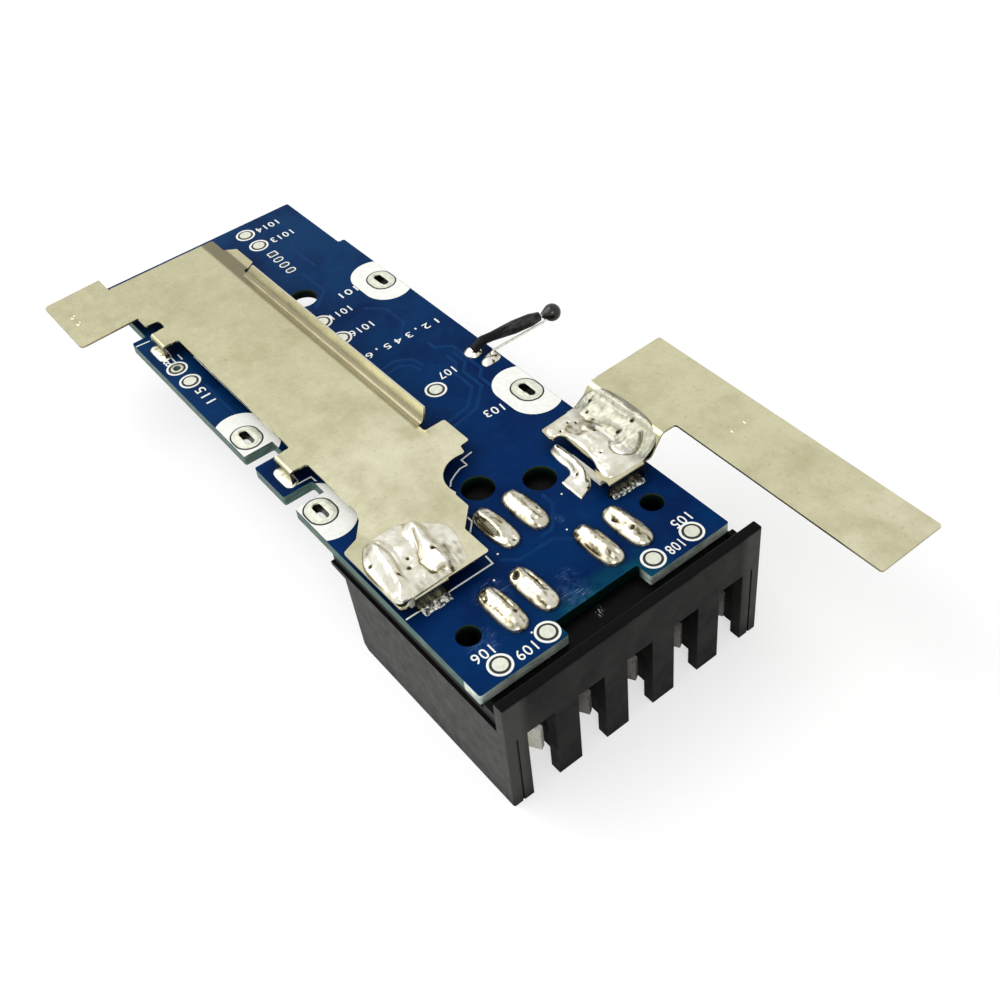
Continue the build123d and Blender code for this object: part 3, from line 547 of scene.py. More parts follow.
def clip_to_board(bm):
    """Trims the white patches at the board's sides and round its two notches."""
    def cut(point, normal, drop):
        parts = bm.verts[:] + bm.edges[:] + bm.faces[:]
        bmesh.ops.bisect_plane(bm, geom=parts, plane_co=point, plane_no=normal, clear_outer=drop)

    side, inner = BOARD_HALF - PRINT_MARGIN, at(NOTCH_INNER + PRINT_MARGIN, 0)
    cut(at(side, 0), (1, 0, 0), True)
    cut(at(-side, 0), (-1, 0, 0), True)
    cut(inner, (1, 0, 0), False)
    for low, high in NOTCHES:
        bottom, top = at(0, low - PRINT_MARGIN), at(0, high + PRINT_MARGIN)
        cut(bottom, (0, 1, 0), False)
        cut(top, (0, 1, 0), False)
        gone = []
        for face in bm.faces:
            middle = face.calc_center_median()
            if middle.x < inner.x and bottom.y < middle.y < top.y:
                gone.append(face)
        bmesh.ops.delete(bm, geom=gone, context="FACES")


def print_patches(bm):
    for place in EYELETS:
        ring(bm, place, (8.0, 11.5), (4.4, 5.4), PRINT_BASE, PRINT_HEIGHT)
    clip_to_board(bm)


def bare_gaps(bm):
    """Dark gaps between the pads and their printed rings."""
    for place in EYELETS:
        ring(bm, place, (4.42, 5.42), (3.86, 4.86), *GAP_HEIGHTS)
    for place in PADS:
        ring(bm, place, (2.7, 2.7), (1.94, 1.94), *GAP_HEIGHTS)


def jumper_pads(bm):
    for x, y in JUMPERS:
        loop = lying(x, y, 0.7, 1.25)
        middle = [(x + 0.05 * (a - x), y + 0.05 * (b - y)) for a, b in loop]
        band(bm, loop, middle, PRINT_BASE, 0.02)


# Width, length and height of the rings of a plated slot's rim, from outside to deep in the slot.
LIP_RINGS = ((2.6, 4.1, 0.082), (2.3, 3.8, 0.13), (1.8, 3.5, 0.14), (1.42, 3.28, 0.09),
             (1.26, 3.14, -0.1), (1.24, 3.12, -1.5))


def eyelet_lips(bm):
    """The rolled rim of each plated slot, standing a little above its pad."""
    for place in EYELETS:
        for (*outer, low), (*inner, high) in zip(LIP_RINGS, LIP_RINGS[1:]):
            ring(bm, place, outer, inner, low, high)


def print_marks(bm):
    """Rings, a box, ovals, lines and dots."""
    heights = (PRINT_BASE, PRINT_HEIGHT)
    for place in PADS:
        ring(bm, place, (3.3, 3.3), (2.66, 2.66), *heights)
    x, y = JUMPERS[0]
    corners = ((-0.75, 0.6), (0.75, 0.6), (0.75, -0.6), (-0.75, -0.6), (-0.75, 0.6))
    stroke(bm, [(x + a, y + b) for a, b in corners], 0.2, *heights)
    for x, y in JUMPERS[1:]:
        band(bm, lying(x, y, 1.25, 1.8), lying(x, y, 0.85, 1.4), *heights)
    for line in PRINT_LINES:
        stroke(bm, line, PRINT_LINE_WIDTH, *heights)
    for place in PRINT_DOTS:
        ring(bm, place, (0.28, 0.28), (0.02, 0.02), *heights, 12)


def trace_lines(bm):
    for line in TRACES:
        stroke(bm, line, TRACE_WIDTH, 0.0, TRACE_HEIGHT, TRACE_SHOULDER)


finish_piece(loops_mesh("print_patches", print_patches), "tinned_pads", white_print())
finish_piece(loops_mesh("print_marks", print_marks), "tinned_pads", bpy.data.materials["white_print"])
finish_piece(loops_mesh("copper_traces", trace_lines), "blue_board", traces())
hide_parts("jumper_pads")
finish_piece(loops_mesh("jumper_pad_metal", jumper_pads), "tinned_pads",
             tinned("dull_pads", rgb(54, 70, 84), rgb(24, 40, 58)))
finish_piece(loops_mesh("eyelet_lips", eyelet_lips), "tinned_pads", slot_rims())
finish_piece(loops_mesh("bare_gaps", bare_gaps), "blue_board",
             mottled("bare_gap", rgb(6, 10, 12), rgb(14, 22, 26), 0.5, 0.002))

# Plain numbers beside the pads: text, middle, length, turn in degrees.
NUMBERS = (("106", -15.9, 4.6, 2.9, 180), ("109", -11.7, 1.6, 2.8, 180), ("105", 16.0, 4.4, 2.8, 180),
           ("108", 12.3, 1.7, 2.4, 180), ("115", -17.4, 69.7, 4.1, 90), ("118", -17.1, 80.8, 2.8, 180),
           ("1014", 12.8, 102.4, 4.2, 180), ("1013", 13.0, 97.9, 4.1, 180), ("101", 12.2, 76.1, 3.1, 180),
           ("1011", 8.3, 72.4, 3.6, 180), ("1016", 8.5, 66.6, 4.1, 180), ("107", 11.8, 48.8, 2.8, 178),
           ("103", 11.65, 37.4, 3.0, 173), ("12,345,6", 11.8, 60.1, 13.1, 178.7))

DIGIT_HEIGHT = 1.55
# Half the text's own thickness, and the height of the numbers' middle over the board.
TEXT_EXTRUDE = 0.01
NUMBER_MIDDLE = 0.016


def number_mesh(text, x, y, length, turn):
    """A plain number, stretched to its length, on the board."""
    curve = bpy.data.curves.new("number", "FONT")
    curve.body = text
    curve.align_x = "CENTER"
    curve.align_y = "CENTER"
    curve.size = 1.0
    curve.offset = 0.004
    curve.extrude = TEXT_EXTRUDE
    curve.space_character = 1.55 if "," in text else 1.12
    holder = new_piece("number_holder", curve)
    bpy.context.view_layer.update()
    graph = bpy.context.evaluated_depsgraph_get()
    mesh = bpy.data.meshes.new_from_object(holder.evaluated_get(graph))
    across = [v.co.x for v in mesh.vertices]
    upwards = [v.co.y for v in mesh.vertices]
    wide, tall = max(across) - min(across), max(upwards) - min(upwards)
    thick = PRINT_HEIGHT / (2 * TEXT_EXTRUDE)
    size = Matrix.Diagonal((length / wide / 1000, DIGIT_HEIGHT / tall / 1000, thick / 1000, 1))
    turned = Matrix.Rotation(math.radians(turn), 4, "Z")
    mesh.transform(Matrix.Translation(at(x, y, NUMBER_MIDDLE)) @ turned @ size)
    bpy.data.objects.remove(holder)
    return mesh


def number_piece(name, entries):
    bm = bmesh.new()
    for mesh in [number_mesh(*entry) for entry in entries]:
        bm.from_mesh(mesh)
        bpy.data.meshes.remove(mesh)
    joined = bpy.data.meshes.new(name)
    bm.to_mesh(joined)
    bm.free()
    return new_piece(name, joined)


finish_piece(number_piece("print_numbers", NUMBERS), "tinned_pads", bpy.data.materials["white_print"])

# ---- sculpted solder ----

# The finer rows of a skin lie this far inside its outline, and the whole skin is sunk by this much.
RIM_ROWS = (0.0, 0.05, 0.13, 0.25)
SINK = 0.02


def rounded(points, times=3):
    """Cuts the corners of a closed outline until it is smooth."""
    for _ in range(times):
        loop = []
        for here, after in zip(points, points[1:] + points[:1]):
            loop.append(tuple(0.75 * a + 0.25 * b for a, b in zip(here, after)))
            loop.append(tuple(0.25 * a + 0.75 * b for a, b in zip(here, after)))
        points = loop
    return points


def distance(line, x, y, closed=False):
    """How far each of the points is from a line."""
    ends = line[1:] + line[:1] if closed else line[1:]
    best = np.full(len(x), 1e9)
    for (ax, ay), (bx, by) in zip(line, ends):
        dx, dy = bx - ax, by - ay
        along = np.clip(((x - ax) * dx + (y - ay) * dy) / (dx * dx + dy * dy + 1e-12), 0, 1)
        best = np.minimum(best, np.hypot(x - ax - along * dx, y - ay - along * dy))
    return best


def inside(line, x, y):
    found = np.zeros(len(x), bool)
    for (ax, ay), (bx, by) in zip(line, line[1:] + line[:1]):
        if ay != by:
            found ^= ((ay > y) != (by > y)) & (x < (bx - ax) * (y - ay) / (by - ay) + ax)
    return found


def soft(value):
    value = np.clip(value, 0, 1)
    return value * value * (3 - 2 * value)


def lobe(x, y, place, radius, other=None, turn=0.0):
    """A round or oval swelling, 1 at its middle and 0 outside."""
    across, along = x - place[0], y - place[1]
    a, b = math.cos(math.radians(turn)), math.sin(math.radians(turn))
    away = np.hypot((across * a + along * b) / radius, (along * a - across * b) / (other or radius))
    return soft(1 - away)


def ridge(x, y, line, half):
    """A long swelling along a line, 1 on the line and 0 at half its width from it."""
    return soft(1 - distance(line, x, y) / half)


def grain(x, y, scale, seed):
    return np.array([noise.noise(Vector((a * scale, b * scale, seed))) for a, b in zip(x, y)])


def edge_round(d, radius):
    """The rounded rim of molten metal: 0 at the outline, 1 past the radius."""
    return np.sqrt(np.clip(1 - (1 - np.minimum(d / radius, 1)) ** 2, 0, 1))


def spotted(found, x, y, spots, gain=1.5):
    """Stain and painted shade with round spots added: the place and radius of each."""
    for a, b, radius in spots:
        found = np.maximum(found, soft(gain * lobe(x, y, (a, b), radius)))
    return found


def skin_points(loop, step):
    """Rows along the outline with their edges, and a grid inside them."""
    area = sum(a[0] * b[1] - b[0] * a[1] for a, b in zip(loop, loop[1:] + loop[:1]))
    inwards = 1 if area > 0 else -1
    points, edges = [], []
    for inset in RIM_ROWS:
        first = len(points)
        for n, (x, y) in enumerate(loop):
            after = (n + 1) % len(loop)
            way = (Vector(loop[after]) - Vector(loop[n - 1])).normalized() * inset * inwards
            points.append((x - way.y, y + way.x))
            edges.append((first + n, first + after))
    xs, ys = [np.array(c) for c in zip(*loop)]
    gx, gy = np.meshgrid(np.arange(xs.min(), xs.max(), step), np.arange(ys.min(), ys.max(), step))
    gx, gy = gx.ravel(), gy.ravel()
    keep = inside(loop, gx, gy)
    keep[keep] = distance(loop, gx[keep], gy[keep], True) > RIM_ROWS[-1] + 0.5 * step
    return points + list(zip(gx[keep], gy[keep])), edges


def skin(name, outline, step, base, height, stain_and_shade):
    """A blob of solder inside an outline, lying on base(x, y)."""
    loop = rounded(outline)
    points, edges = skin_points(loop, step)
    flat, _, faces, _, _, _ = geometry.delaunay_2d_cdt([Vector(p) for p in points], edges,
                                                      [list(range(len(loop)))], 1, 1e-7)
    x, y = np.array([p.x for p in flat]), np.array([p.y for p in flat])
    d = distance(loop, x, y, True)
    z = base(x, y) + height(x, y, d) - SINK
    mesh = bpy.data.meshes.new(name)
    mesh.from_pydata([at(*p) for p in zip(x, y, z)], [], faces)
    for face in mesh.polygons:
        face.use_smooth = True
    bm = bmesh.new()
    bm.from_mesh(mesh)
    bmesh.ops.recalc_face_normals(bm, faces=bm.faces)
    if sum(face.normal.z for face in bm.faces) < 0:
        bmesh.ops.reverse_faces(bm, faces=bm.faces)
    bm.to_mesh(mesh)
    bm.free()
    layer = mesh.attributes.new("stain_and_shade", "FLOAT", "POINT")
    layer.data.foreach_set("value", np.clip(stain_and_shade(x, y, d), 0, 1).astype(np.float32))
    return new_piece(name, mesh)


def flat_base(level):
    return lambda x, y: np.full(len(x), float(level))


# One row per joint: its middle, its crest's place across and rise, its dents and its brown patches.
# A dent or a patch is its place from the middle, its half sizes, and its depth or strength.
JOINTS = (
    ("joint_1", -2.43, 19.2, -0.25, 0.35,
     ((-1.1, 0.15, 0.7, 3.2, 0.5), (0.3, -3.3, 0.5, 0.6, 0.3)),
     ((-1.3, 0.6, 0.55, 3.0, 1.0), (0.2, -3.5, 0.45, 0.4, 0.8), (-0.3, 3.6, 0.9, 0.5, 0.5),
      (1.4, 0.8, 0.5, 3.2, 0.5))),
    ("joint_2", 2.43, 19.2, -0.1, 0.2,
     ((0.5, -1.8, 0.6, 0.9, 0.25), (-0.4, -2.4, 0.5, 0.7, 0.2)),
     ((1.1, 2.6, 0.6, 1.0, 0.9), (1.3, 0.9, 0.45, 2.6, 0.7), (0.9, -1.3, 0.35, 0.5, 0.7))),
    ("joint_3", 5.27, 8.1, 0.1, 0.35,
     ((-1.2, -0.3, 0.5, 2.6, 0.35), (0.5, -2.6, 0.5, 1.2, 0.3), (-0.4, -2.7, 0.4, 1.1, 0.3)),
     ((-1.35, -0.4, 0.45, 2.8, 0.9), (-1.1, 3.0, 0.5, 0.9, 0.6), (0.0, -0.7, 0.35, 0.5, 0.5),
      (1.35, 0.6, 0.4, 2.6, 0.6))),
    ("joint_4", 10.13, 8.1, 0.2, 0.4,
     ((-0.9, 1.4, 0.4, 0.7, 0.35), (-0.3, -1.2, 0.45, 0.6, 0.35), (0.6, -1.0, 0.3, 1.2, 0.25)),
     ((-1.0, 1.5, 0.4, 0.6, 1.0), (-0.3, -1.2, 0.45, 0.5, 0.8), (0.75, -0.9, 0.25, 1.0, 0.7),
      (1.25, 1.4, 0.4, 2.4, 0.7))),
    ("joint_5", -10.13, 8.1, 0.1, 0.35,
     ((-0.9, 2.5, 0.5, 0.8, 0.3), (0.8, 0.6, 0.4, 2.8, 0.5), (0.5, -1.8, 0.5, 0.5, 0.3)),
     ((-0.6, 3.1, 0.9, 0.7, 0.8), (-1.1, 2.0, 0.4, 0.5, 0.8), (0.75, 0.6, 0.4, 2.6, 0.9),
      (0.6, -1.7, 0.6, 0.5, 0.8), (-0.6, 0.2, 0.3, 0.25, 0.7), (-0.9, -1.0, 0.25, 0.3, 0.6))),
    ("joint_6", -5.27, 8.1, 0.05, 0.4,
     ((-0.7, 2.6, 0.6, 0.7, 0.5), (0.65, 0.6, 0.4, 2.6, 0.6)),
     ((-0.6, 2.8, 0.6, 0.55, 1.0), (0.7, 0.7, 0.35, 2.4, 1.0), (0.5, -1.4, 0.35, 0.45, 0.8),
      (1.4, 1.6, 0.4, 2.2, 0.6))),
)
JOINT_OUTLINE = ((1.0, 4.05), (-0.2, 4.2), (-1.3, 3.7), (-1.75, 2.2), (-1.72, -2.3), (-1.2, -3.8),
                 (0.1, -4.25), (1.3, -3.7), (1.75, -2.2), (1.72, 2.4))


def joint_skin(row):
    name, cx, cy, crest, crest_height, dents, patches = row
    seed = cx * 3.7 + cy

    def height(x, y, d):
        u, v = x - cx, y - cy
        body = 1.05 * edge_round(d, 1.5) ** 0.9
        line = [(crest - 0.1, 2.9), (crest + 0.1, 0.4), (crest, -1.6)]
        body += crest_height * ridge(u, v, line, 1.0) * np.minimum(d / 0.8, 1)
        facet = 0.75 + 0.55 * (v + 3.4) + 0.25 * np.abs(u - crest)
        body = np.minimum(body, np.maximum(facet, 0.2 * edge_round(d, 0.5)))
        for a, b, wide, long, deep in dents:
            body -= deep * lobe(u, v, (a, b), wide, long) * np.minimum(d / 0.4, 1)
        body += 0.10 * grain(x, y, 0.9, seed) * np.minimum(d / 0.5, 1)
        body += 0.05 * grain(x, y, 2.1, seed + 5) * np.minimum(d / 0.4, 1)
        return np.maximum(body, 0.15 * edge_round(d, 0.3))

    def stain_and_shade(x, y, d):
        u, v = x - cx, y - cy
        # Painted shade: a dark rim along the outline.
        found = 0.3 * (1 - np.minimum(d / 0.3, 1))
        for a, b, wide, long, strength in patches:
            found = np.maximum(found, strength * soft(1.6 * lobe(u, v, (a, b), wide, long)))
        # Painted shade on the right flank.
        found = np.maximum(found, 0.45 * soft((u - 0.5) / 1.1) * soft(d / 0.2 + 0.3))
        streak = np.maximum(grain(x * 2.2, y * 0.6, 1.0, seed + 9) + 0.5 * grain(x, y, 2.5, seed + 12), 0)
        return np.maximum(found, 0.27) + 0.75 * streak

    outline = [(cx + a, cy + b) for a, b in JOINT_OUTLINE]
    return skin(name, outline, 0.12, flat_base(0), height, stain_and_shade)


def plate_solder():
    outline = [(-20.3, 23.0), (-18.7, 25.6), (-17.6, 26.3), (-15.6, 26.6), (-13.6, 26.5), (-11.5, 25.8),
               (-10.4, 25.0), (-9.2, 23.7), (-7.9, 22.1), (-7.7, 20.7), (-8.5, 18.0), (-9.4, 15.3),
               (-13.1, 15.1), (-17.9, 15.0), (-18.4, 15.2), (-20.2, 14.9), (-20.3, 17.4), (-20.3, 19.7)]
    first = [(-17.4, 24.0), (-17.9, 21.0), (-18.6, 17.4)]
    second = [(-11.8, 24.0), (-12.35, 20.6), (-12.3, 18.9), (-12.15, 16.4)]
    creases = ([(-17.2, 24.3), (-16.6, 22.0), (-17.0, 19.6), (-17.6, 17.4)],
               [(-12.4, 23.0), (-13.2, 20.9), (-14.4, 18.8), (-14.2, 16.5), (-12.8, 15.9)])
    pits = ((-12.3, 18.7, 0.45, 0.6), (-16.0, 18.8, 0.5, 0.35), (-15.3, 20.1, 0.4, 0.25),
            (-17.9, 18.1, 0.5, 0.5), (-19.4, 22.4, 0.4, 0.25), (-11.9, 15.3, 0.6, 0.3))

    def height(x, y, d):
        fade = soft((y - 15.0) / 5 + (-9.5 - x) / 5)
        inland = soft(d / 1.2)
        body = (0.15 + 0.4 * fade) * edge_round(d, 0.7) + 0.35 * soft(d / 2.5)
        body += 1.25 * ridge(x, y, first, 2.0) * inland + 1.15 * ridge(x, y, second, 1.7) * inland
        for line in creases:
            body -= 0.3 * ridge(x, y, line, 0.5)
        for a, b, radius, deep in pits:
            body -= deep * lobe(x, y, (a, b), radius)
        body += 0.5 * lobe(x, y, (-19.6, 15.4), 1.1) + 0.3 * lobe(x, y, (-14.9, 22.0), 2.4, 3.0)
        body += 0.10 * grain(x, y, 0.5, 3.0) * soft(d / 1.0)
        body += 0.045 * grain(x, y, 1.6, 8.0) * soft(d / 0.6)
        return np.maximum(body, 0.12 * edge_round(d, 0.3))

    def stain_and_shade(x, y, d):
        # Painted shade: a dark rim along the upper left edge, dark pits and dark creases.
        rim = (1 - np.minimum(d / 0.28, 1)) * soft((y - 17.5) / 3) * soft((-8.8 - x) / 2)
        found = spotted(np.maximum(0.95 * rim, 0), x, y, [pit[:3] for pit in pits])
        found = np.maximum(found, 0.6 * ridge(x, y, creases[1], 0.35))
        found = np.maximum(found, 0.35 * ridge(x, y, creases[0], 0.4))
        worn = np.maximum(lobe(x, y, (-12.5, 25.4), 3.4, 1.4), lobe(x, y, (-18.3, 24.6), 1.8, 1.4, 40))
        worn = np.maximum(worn, lobe(x, y, (-10.8, 18.0), 4.4, 4.4))
        worn = np.maximum(worn, 0.9 * lobe(x, y, (-15.0, 15.6), 5.0, 2.0))
        mottle = 0.35 + 0.9 * grain(x, y, 1.1, 4.0) + 0.6 * grain(x * 2.5, y * 0.8, 1.1, 14.0)
        mottle = np.maximum(mottle, 0.12)
        return found + 0.68 * worn * mottle + 0.15 * np.maximum(grain(x, y, 0.8, 6.0), 0)

    return skin("plate_solder_pool", outline, 0.13, flat_base(SHEET_TOP), height, stain_and_shade)


def strip_solder():
    outline = [(22.3, 27.75), (16.0, 27.6), (12.3, 27.3), (12.0, 25.2), (13.9, 24.8), (13.6, 18.8),
               (12.7, 16.8), (12.05, 13.9), (17.0, 13.6), (22.2, 13.6)]
    specks = ((15.4, 25.7, 0.35), (16.2, 24.9, 0.35), (13.7, 25.2, 0.3), (19.7, 26.0, 0.35),
              (18.4, 25.1, 0.3), (17.1, 22.1, 0.35), (14.8, 18.3, 0.3), (18.7, 19.2, 0.4),
              (20.6, 18.5, 0.35))
    angles = [math.radians(a) for a in range(120, 331, 15)]
    rim = [(18.3 + 2.1 * math.cos(a), 17.3 + 2.1 * math.sin(a)) for a in angles]
    fold = [(17.4, 24.6), (18.3, 22.6), (18.8, 20.6), (18.9, 19.0)]

    def base(x, y):
        return SHEET_TOP + 3.02 * np.maximum(soft((x - 18.7) / 3.3), 0.9 * soft((x - 17.4) / 5.0))

    def height(x, y, d):
        body = 0.3 * edge_round(d, 0.5) + 0.25 * soft(d / 2.0)
        body = body * np.clip((22.4 - x) / 1.2, 0.1, 1)
        body += 0.15 * ridge(x, y, [(18.9, 25.5), (19.2, 21.5), (19.0, 16.5)], 1.2) * soft(d / 1.5)
        body += 0.3 * lobe(x, y, (18.3, 17.3), 2.4) * soft(d / 1.0)
        body -= 0.18 * ridge(x, y, rim, 0.3)
        body -= 0.1 * ridge(x, y, fold, 0.5)
        body -= 0.3 * lobe(x, y, (15.2, 23.4), 1.7, 1.5)
        for a, b, radius in specks:
            body -= 0.2 * lobe(x, y, (a, b), radius)
        body += 0.09 * grain(x, y, 0.7, 2.0) * soft(d / 0.8)
        body += 0.04 * grain(x, y, 1.9, 5.0) * soft(d / 0.5)
        return np.maximum(body, 0.08 * edge_round(d, 0.3))

    def stain_and_shade(x, y, d):
        patch = [(13.8, 25.2), (14.9, 22.8), (17.2, 22.0), (18.9, 23.7), (15.9, 25.5)]
        found = 0.5 * np.where(inside(rounded(patch), x, y), 1.0, 0.0) * (0.8 + grain(x, y, 1.5, 7.0))
        found = spotted(found, x, y, specks, 1.6)
        # Painted shade in the groove round the lobe, along the fold and along the left edge.
        found = np.maximum(found, 0.6 * ridge(x, y, rim, 0.22))
        found = np.maximum(found, 0.35 * ridge(x, y, fold, 0.3))
        found = np.maximum(found, 0.5 * ridge(x, y, [(13.7, 24.5), (13.5, 19.5)], 0.5))
        wrinkles = np.maximum(grain(x * 1.6, y * 0.7, 1.0, 11.0) + 0.5 * grain(x, y, 2.2, 13.0), 0)
        # Wrinkles, and painted shade growing towards the step.
        return found + 0.3 * wrinkles + 0.1 * soft((x - 18.0) / 1.5)

    return skin("strip_solder_pool", outline, 0.13, base, height, stain_and_shade)


def side_solder():
    outline = [(11.9, 25.9), (13.5, 25.7), (13.8, 23.6), (13.5, 20.2), (12.85, 18.3), (11.4, 16.4),
               (9.3, 15.8), (9.05, 15.75), (9.0, 16.0), (9.0, 19.6), (9.1, 19.85), (9.4, 19.85),
               (11.5, 20.3), (11.4, 23.7)]
    spots = ((11.3, 19.2, 0.35), (11.0, 16.6, 0.35), (11.6, 16.4, 0.35), (12.6, 24.6, 0.35))

    def height(x, y, d):
        body = 0.25 * edge_round(d, 0.3)
        body += 0.9 * ridge(x, y, [(12.6, 25.0), (12.6, 21.0), (12.3, 19.4)], 1.5) * soft(d / 0.8)
        body += 0.7 * lobe(x, y, (11.7, 18.3), 1.7, 1.3) * soft(d / 0.8)
        return body + 0.08 * grain(x, y, 1.2, 1.0) * soft(d / 0.5)

    def stain_and_shade(x, y, d):
        # Painted shade on the side towards the strip.
        found = 0.35 * lobe(x, y, (12.8, 22.8), 0.9, 2.2)
        found = np.maximum(found, 0.6 * lobe(x, y, (13.2, 20.0), 0.7, 1.6))
        return spotted(found, x, y, spots)

    return skin("side_solder_lump", outline, 0.12, flat_base(0), height, stain_and_shade)


# Outline, swellings and brown spots of the two mounds that hold the thermistor's sleeve and wire.
MOUNDS = (
    ("sleeve_mound",
     ((15.9, 50.3), (16.6, 51.0), (17.7, 51.0), (18.6, 50.2), (18.7, 49.2), (17.9, 48.5), (16.8, 48.4),
      (16.0, 49.2)),
     ((17.0, 50.2, 1.1, 0.3), (17.4, 49.4, 1.0, 0.45)),
     ((17.1, 49.3, 0.5), (17.9, 49.0, 0.5), (18.3, 50.4, 0.5))),
    ("wire_mound",
     ((16.7, 47.1), (18.2, 47.9), (19.7, 47.9), (19.85, 46.6), (19.7, 45.9), (18.7, 45.6), (16.7, 45.6),
      (16.4, 46.3)),
     ((17.6, 46.5, 1.3, 0.3), (19.3, 47.4, 0.9, 0.35)),
     ((19.0, 46.4, 0.4), (18.1, 45.8, 0.35), (19.2, 47.5, 0.3))),
)


def mound(row):
    name, outline, swellings, spots = row

    def height(x, y, d):
        body = 0.3 * edge_round(d, 0.45) + 0.2 * soft(d / 0.9)
        for a, b, radius, high in swellings:
            body += high * lobe(x, y, (a, b), radius) * soft(d / 0.5)
        return body + 0.06 * grain(x, y, 1.8, 4.0) * soft(d / 0.3)

    def stain_and_shade(x, y, d):
        return spotted(0.12 + 0.4 * np.maximum(grain(x, y, 1.3, 9.0), 0), x, y, spots)

    return skin(name, list(outline), 0.1, flat_base(0), height, stain_and_shade)


# Low and high x and y of the crust at each front leg, and the middles of the bus plate's two feet.
LEG_CRUSTS = ((-17.7, -13.4, 13.6, 15.0), (12.2, 17.6, 12.5, 13.5))
CRUST_STEPS = 8
FEET = ((-17.75, 46.4), (-17.75, 83.7))


def unstained(x, y, d):
    return 0 * x


def leg_crust(n, x0, x1, y0, y1):
    """Crusty solder along the foot of a leg, ragged on its open side."""
    ragged, straight = [], []
    for k in range(CRUST_STEPS + 1):
        x = x0 + (x1 - x0) * k / CRUST_STEPS
        shift = 0.15 * noise.noise(Vector((k, n, 3.0)))
        ragged.append((x + shift, y0 + 0.3 * noise.noise(Vector((k * 1.7, n, 0.5)))))
        straight.append((x, y1))

    def height(x, y, d):
        return 0.12 * edge_round(d, 0.2) + 0.14 * np.clip(y - y0, 0, 2) + 0.12 * grain(x, y, 2.2, 7.0)

    return skin(f"leg_solder_{n + 1}", ragged + straight[::-1], 0.12, flat_base(0), height, unstained)


def foot_fillet(n, x, y):
    def height(x, y, d):
        return 0.35 * edge_round(d, 0.9) + 0.05 * grain(x, y, 1.5, 2.0)

    return skin(f"foot_solder_{n + 1}", stadium(x, y, 2.2, 4.8, 16), 0.14, flat_base(0), height, unstained)


CRUST = rough_solder()
legs = [leg_crust(n, *extent) for n, extent in enumerate(LEG_CRUSTS)]
feet = [foot_fillet(n, *foot) for n, foot in enumerate(FEET)]
for piece in legs + feet:
    finish_piece(piece, "solder", CRUST if piece in legs else None)
    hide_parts("leg_solder_fillets")
for row in JOINTS:
    piece = joint_skin(row)
    finish_piece(piece, "solder")
    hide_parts("contact_solder_joints")
for made, node in ((plate_solder(), "bus_plate_solder"), (strip_solder(), "side_strip_solder"),
                   (side_solder(), "side_pad_solder"), (mound(MOUNDS[0]), "thermistor_solder"),
                   (mound(MOUNDS[1]), "thermistor_solder")):
    finish_piece(made, "solder")
    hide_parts(node)

# ---- weld marks pressed into the two sheets ----

WELDS = (("bus_plate", -24.7, 99.3), ("bus_plate", -24.7, 97.1),
         ("side_strip", 28.4, 7.5), ("side_strip", 30.8, 7.6))
# Radius and rise of the rings of one mark, from its outside to its middle.
WELD_RINGS = ((0.55, -0.01), (0.46, 0.04), (0.36, 0.085), (0.26, 0.07), (0.14, 0.02), (0.02, 0.01))
WELD_SIDES = 24


def weld_marks(bm):
    for node, x, y in WELDS:
        tree = BVHTree.FromObject(nodes[node], bpy.context.evaluated_depsgraph_get())
        top = tree.ray_cast(at(x, y, 20), Vector((0, 0, -1)))[0].z * 1000
        rows = []
        for radius, rise in WELD_RINGS:
            loop = stadium(x, y, 2 * radius, 2 * radius, WELD_SIDES)
            rows.append([bm.verts.new(at(a, b, top + rise)) for a, b in loop])
        for row, after in zip(rows, rows[1:]):
            for n in range(WELD_SIDES):
                turn = (n + 1) % WELD_SIDES
                bm.faces.new((row[n], row[turn], after[turn], after[n]))
        bm.faces.new(rows[-1])
    for face in bm.faces:
        face.smooth = True


finish_piece(loops_mesh("weld_marks", weld_marks), "nickel_sheet")

# ---- finishes of the carried-over nodes ----

for name, piece in nodes.items():
    finish_piece(piece, SLOT_OF[name])

# ---- floor, light and camera ----

FLOOR_HALF, FLOOR_GAP = 3.0, 1e-5
# The seen floor's own glow, the grey that takes its shadow, and how much of both mirrors show.
FLOOR_GLOW, FLOOR_SHADOW = 0.62, 0.45
FLOOR_MIRRORED = 0.1
WORLD_LIGHT, WORLD_SEEN = 0.55, 1.0
LIT_PLACE = Vector((0, 0.04, 0))


def floor_material():
    """Seen white with the object's shadow, and a plain pale floor to all other light."""
    look = Look("studio_floor", rgb(250, 250, 250), 0.9)
    glow = look.node("ShaderNodeEmission", {"Color": (1, 1, 1, 1), "Strength": FLOOR_GLOW})
    matt = look.node("ShaderNodeBsdfDiffuse", {"Color": (FLOOR_SHADOW, FLOOR_SHADOW, FLOOR_SHADOW, 1)})
    both = look.node("ShaderNodeAddShader", {0: glow.outputs[0], 1: matt.outputs[0]})
    pale = look.node("ShaderNodeBsdfDiffuse", {"Color": (0.94, 0.94, 0.94, 1)})
    ray = look.node("ShaderNodeLightPath").outputs
    mirrored = look.math("MAXIMUM", ray["Is Glossy Ray"], ray["Is Transmission Ray"])
    seen = look.math("MAXIMUM", ray["Is Camera Ray"], look.math("MULTIPLY", mirrored, FLOOR_MIRRORED))
    choose = look.node("ShaderNodeMixShader", {0: seen, 1: pale.outputs[0], 2: both.outputs[0]})
    output = [n for n in look.tree.nodes if n.type == "OUTPUT_MATERIAL"][0]
    look.tree.links.new(choose.outputs[0], output.inputs["Surface"])
    look.tree.nodes.remove(look.shader)
    return look.material


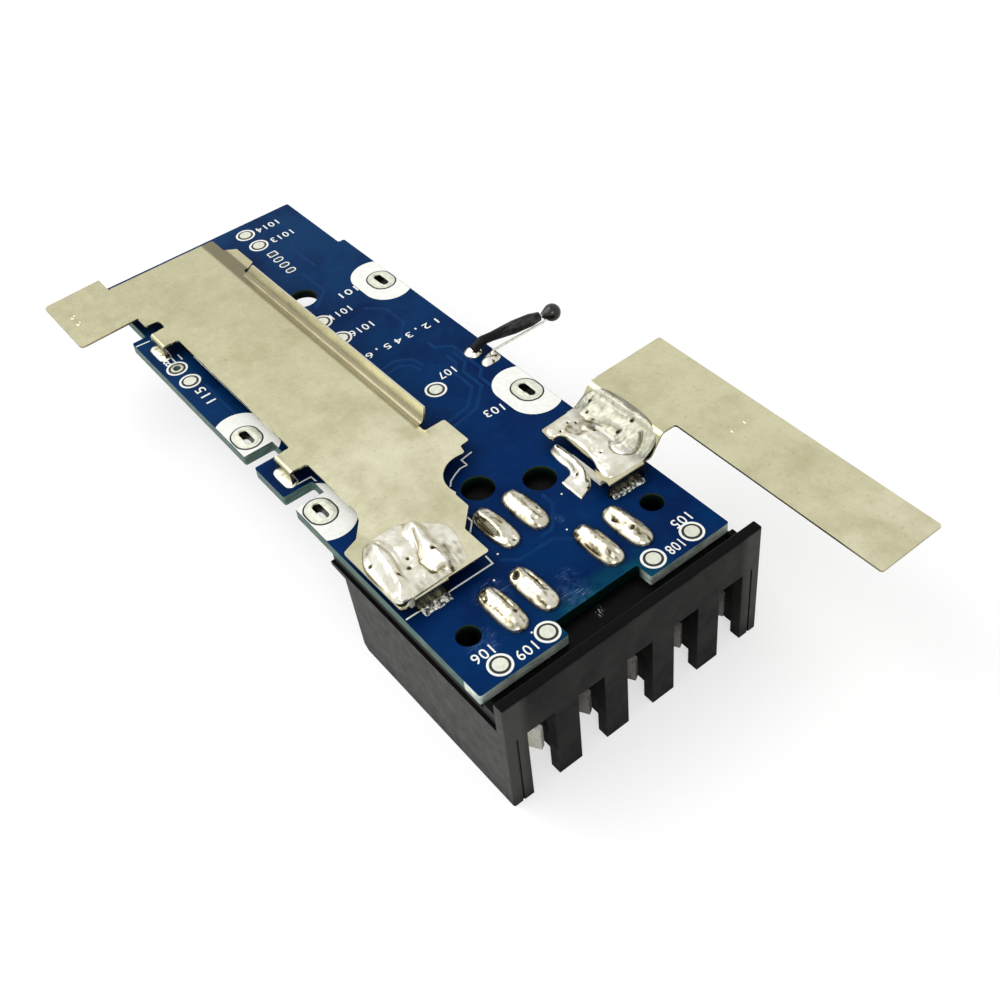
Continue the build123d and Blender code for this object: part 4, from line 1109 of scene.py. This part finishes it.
floor_mesh = bpy.data.meshes.new("studio_floor")
corners = ((-1, -1), (1, -1), (1, 1), (-1, 1))
floor_mesh.from_pydata([(FLOOR_HALF * a, FLOOR_HALF * b, FLOOR_Z - FLOOR_GAP) for a, b in corners],
                       [], [(0, 1, 2, 3)])
floor = new_piece("studio_floor", floor_mesh)
floor_mesh.materials.append(floor_material())


def world():
    """White to the camera, in mirrors and through glass, and softer as a light on the object."""
    made = bpy.data.worlds.new("studio")
    made.use_nodes = True
    made.node_tree.nodes.clear()
    sky = Nodes(made.node_tree)
    ray = sky.node("ShaderNodeLightPath").outputs
    mirrored = sky.math("MAXIMUM", ray["Is Glossy Ray"], ray["Is Transmission Ray"])
    seen = sky.math("MAXIMUM", ray["Is Camera Ray"], mirrored)
    strength = sky.span(seen, 0.0, 1.0, WORLD_LIGHT, WORLD_SEEN)
    background = sky.node("ShaderNodeBackground", {"Color": (1, 1, 1, 1), "Strength": strength})
    sky.node("ShaderNodeOutputWorld", {"Surface": background.outputs[0]})
    bpy.context.scene.world = made


def area(name, place, size, power):
    data = bpy.data.lights.new(name, "AREA")
    data.shape = "DISK"
    data.size = size
    data.energy = power
    lamp = bpy.data.objects.new(name, data)
    lamp.location = place
    lamp.rotation_euler = (LIT_PLACE - Vector(place)).to_track_quat("-Z", "Y").to_euler()
    bpy.context.scene.collection.objects.link(lamp)


world()
area("key_light", (-0.45, 0.35, 0.60), 0.85, 2.8)
area("back_light", (-0.16, 0.50, 0.60), 0.5, 1.1)
area("front_light", (-0.30, -0.55, 0.45), 0.4, 1.3)

# The place, turn and lens were solved from the board's outline and holes in the photograph.
camera_data = bpy.data.cameras.new("camera")
camera_data.sensor_width = 36
camera_data.lens = 46.84
camera_data.shift_x = 0.0211
camera_data.shift_y = -0.0762
camera_data.clip_start = 0.005
camera = bpy.data.objects.new("camera", camera_data)
camera.location = (-0.06517, -0.08560, 0.12211)
camera.rotation_euler = [math.radians(a) for a in (47.72493, 5.37977, -37.76261)]
bpy.context.scene.collection.objects.link(camera)
bpy.context.scene.camera = camera
bpy.context.scene.view_settings.view_transform = "Standard"
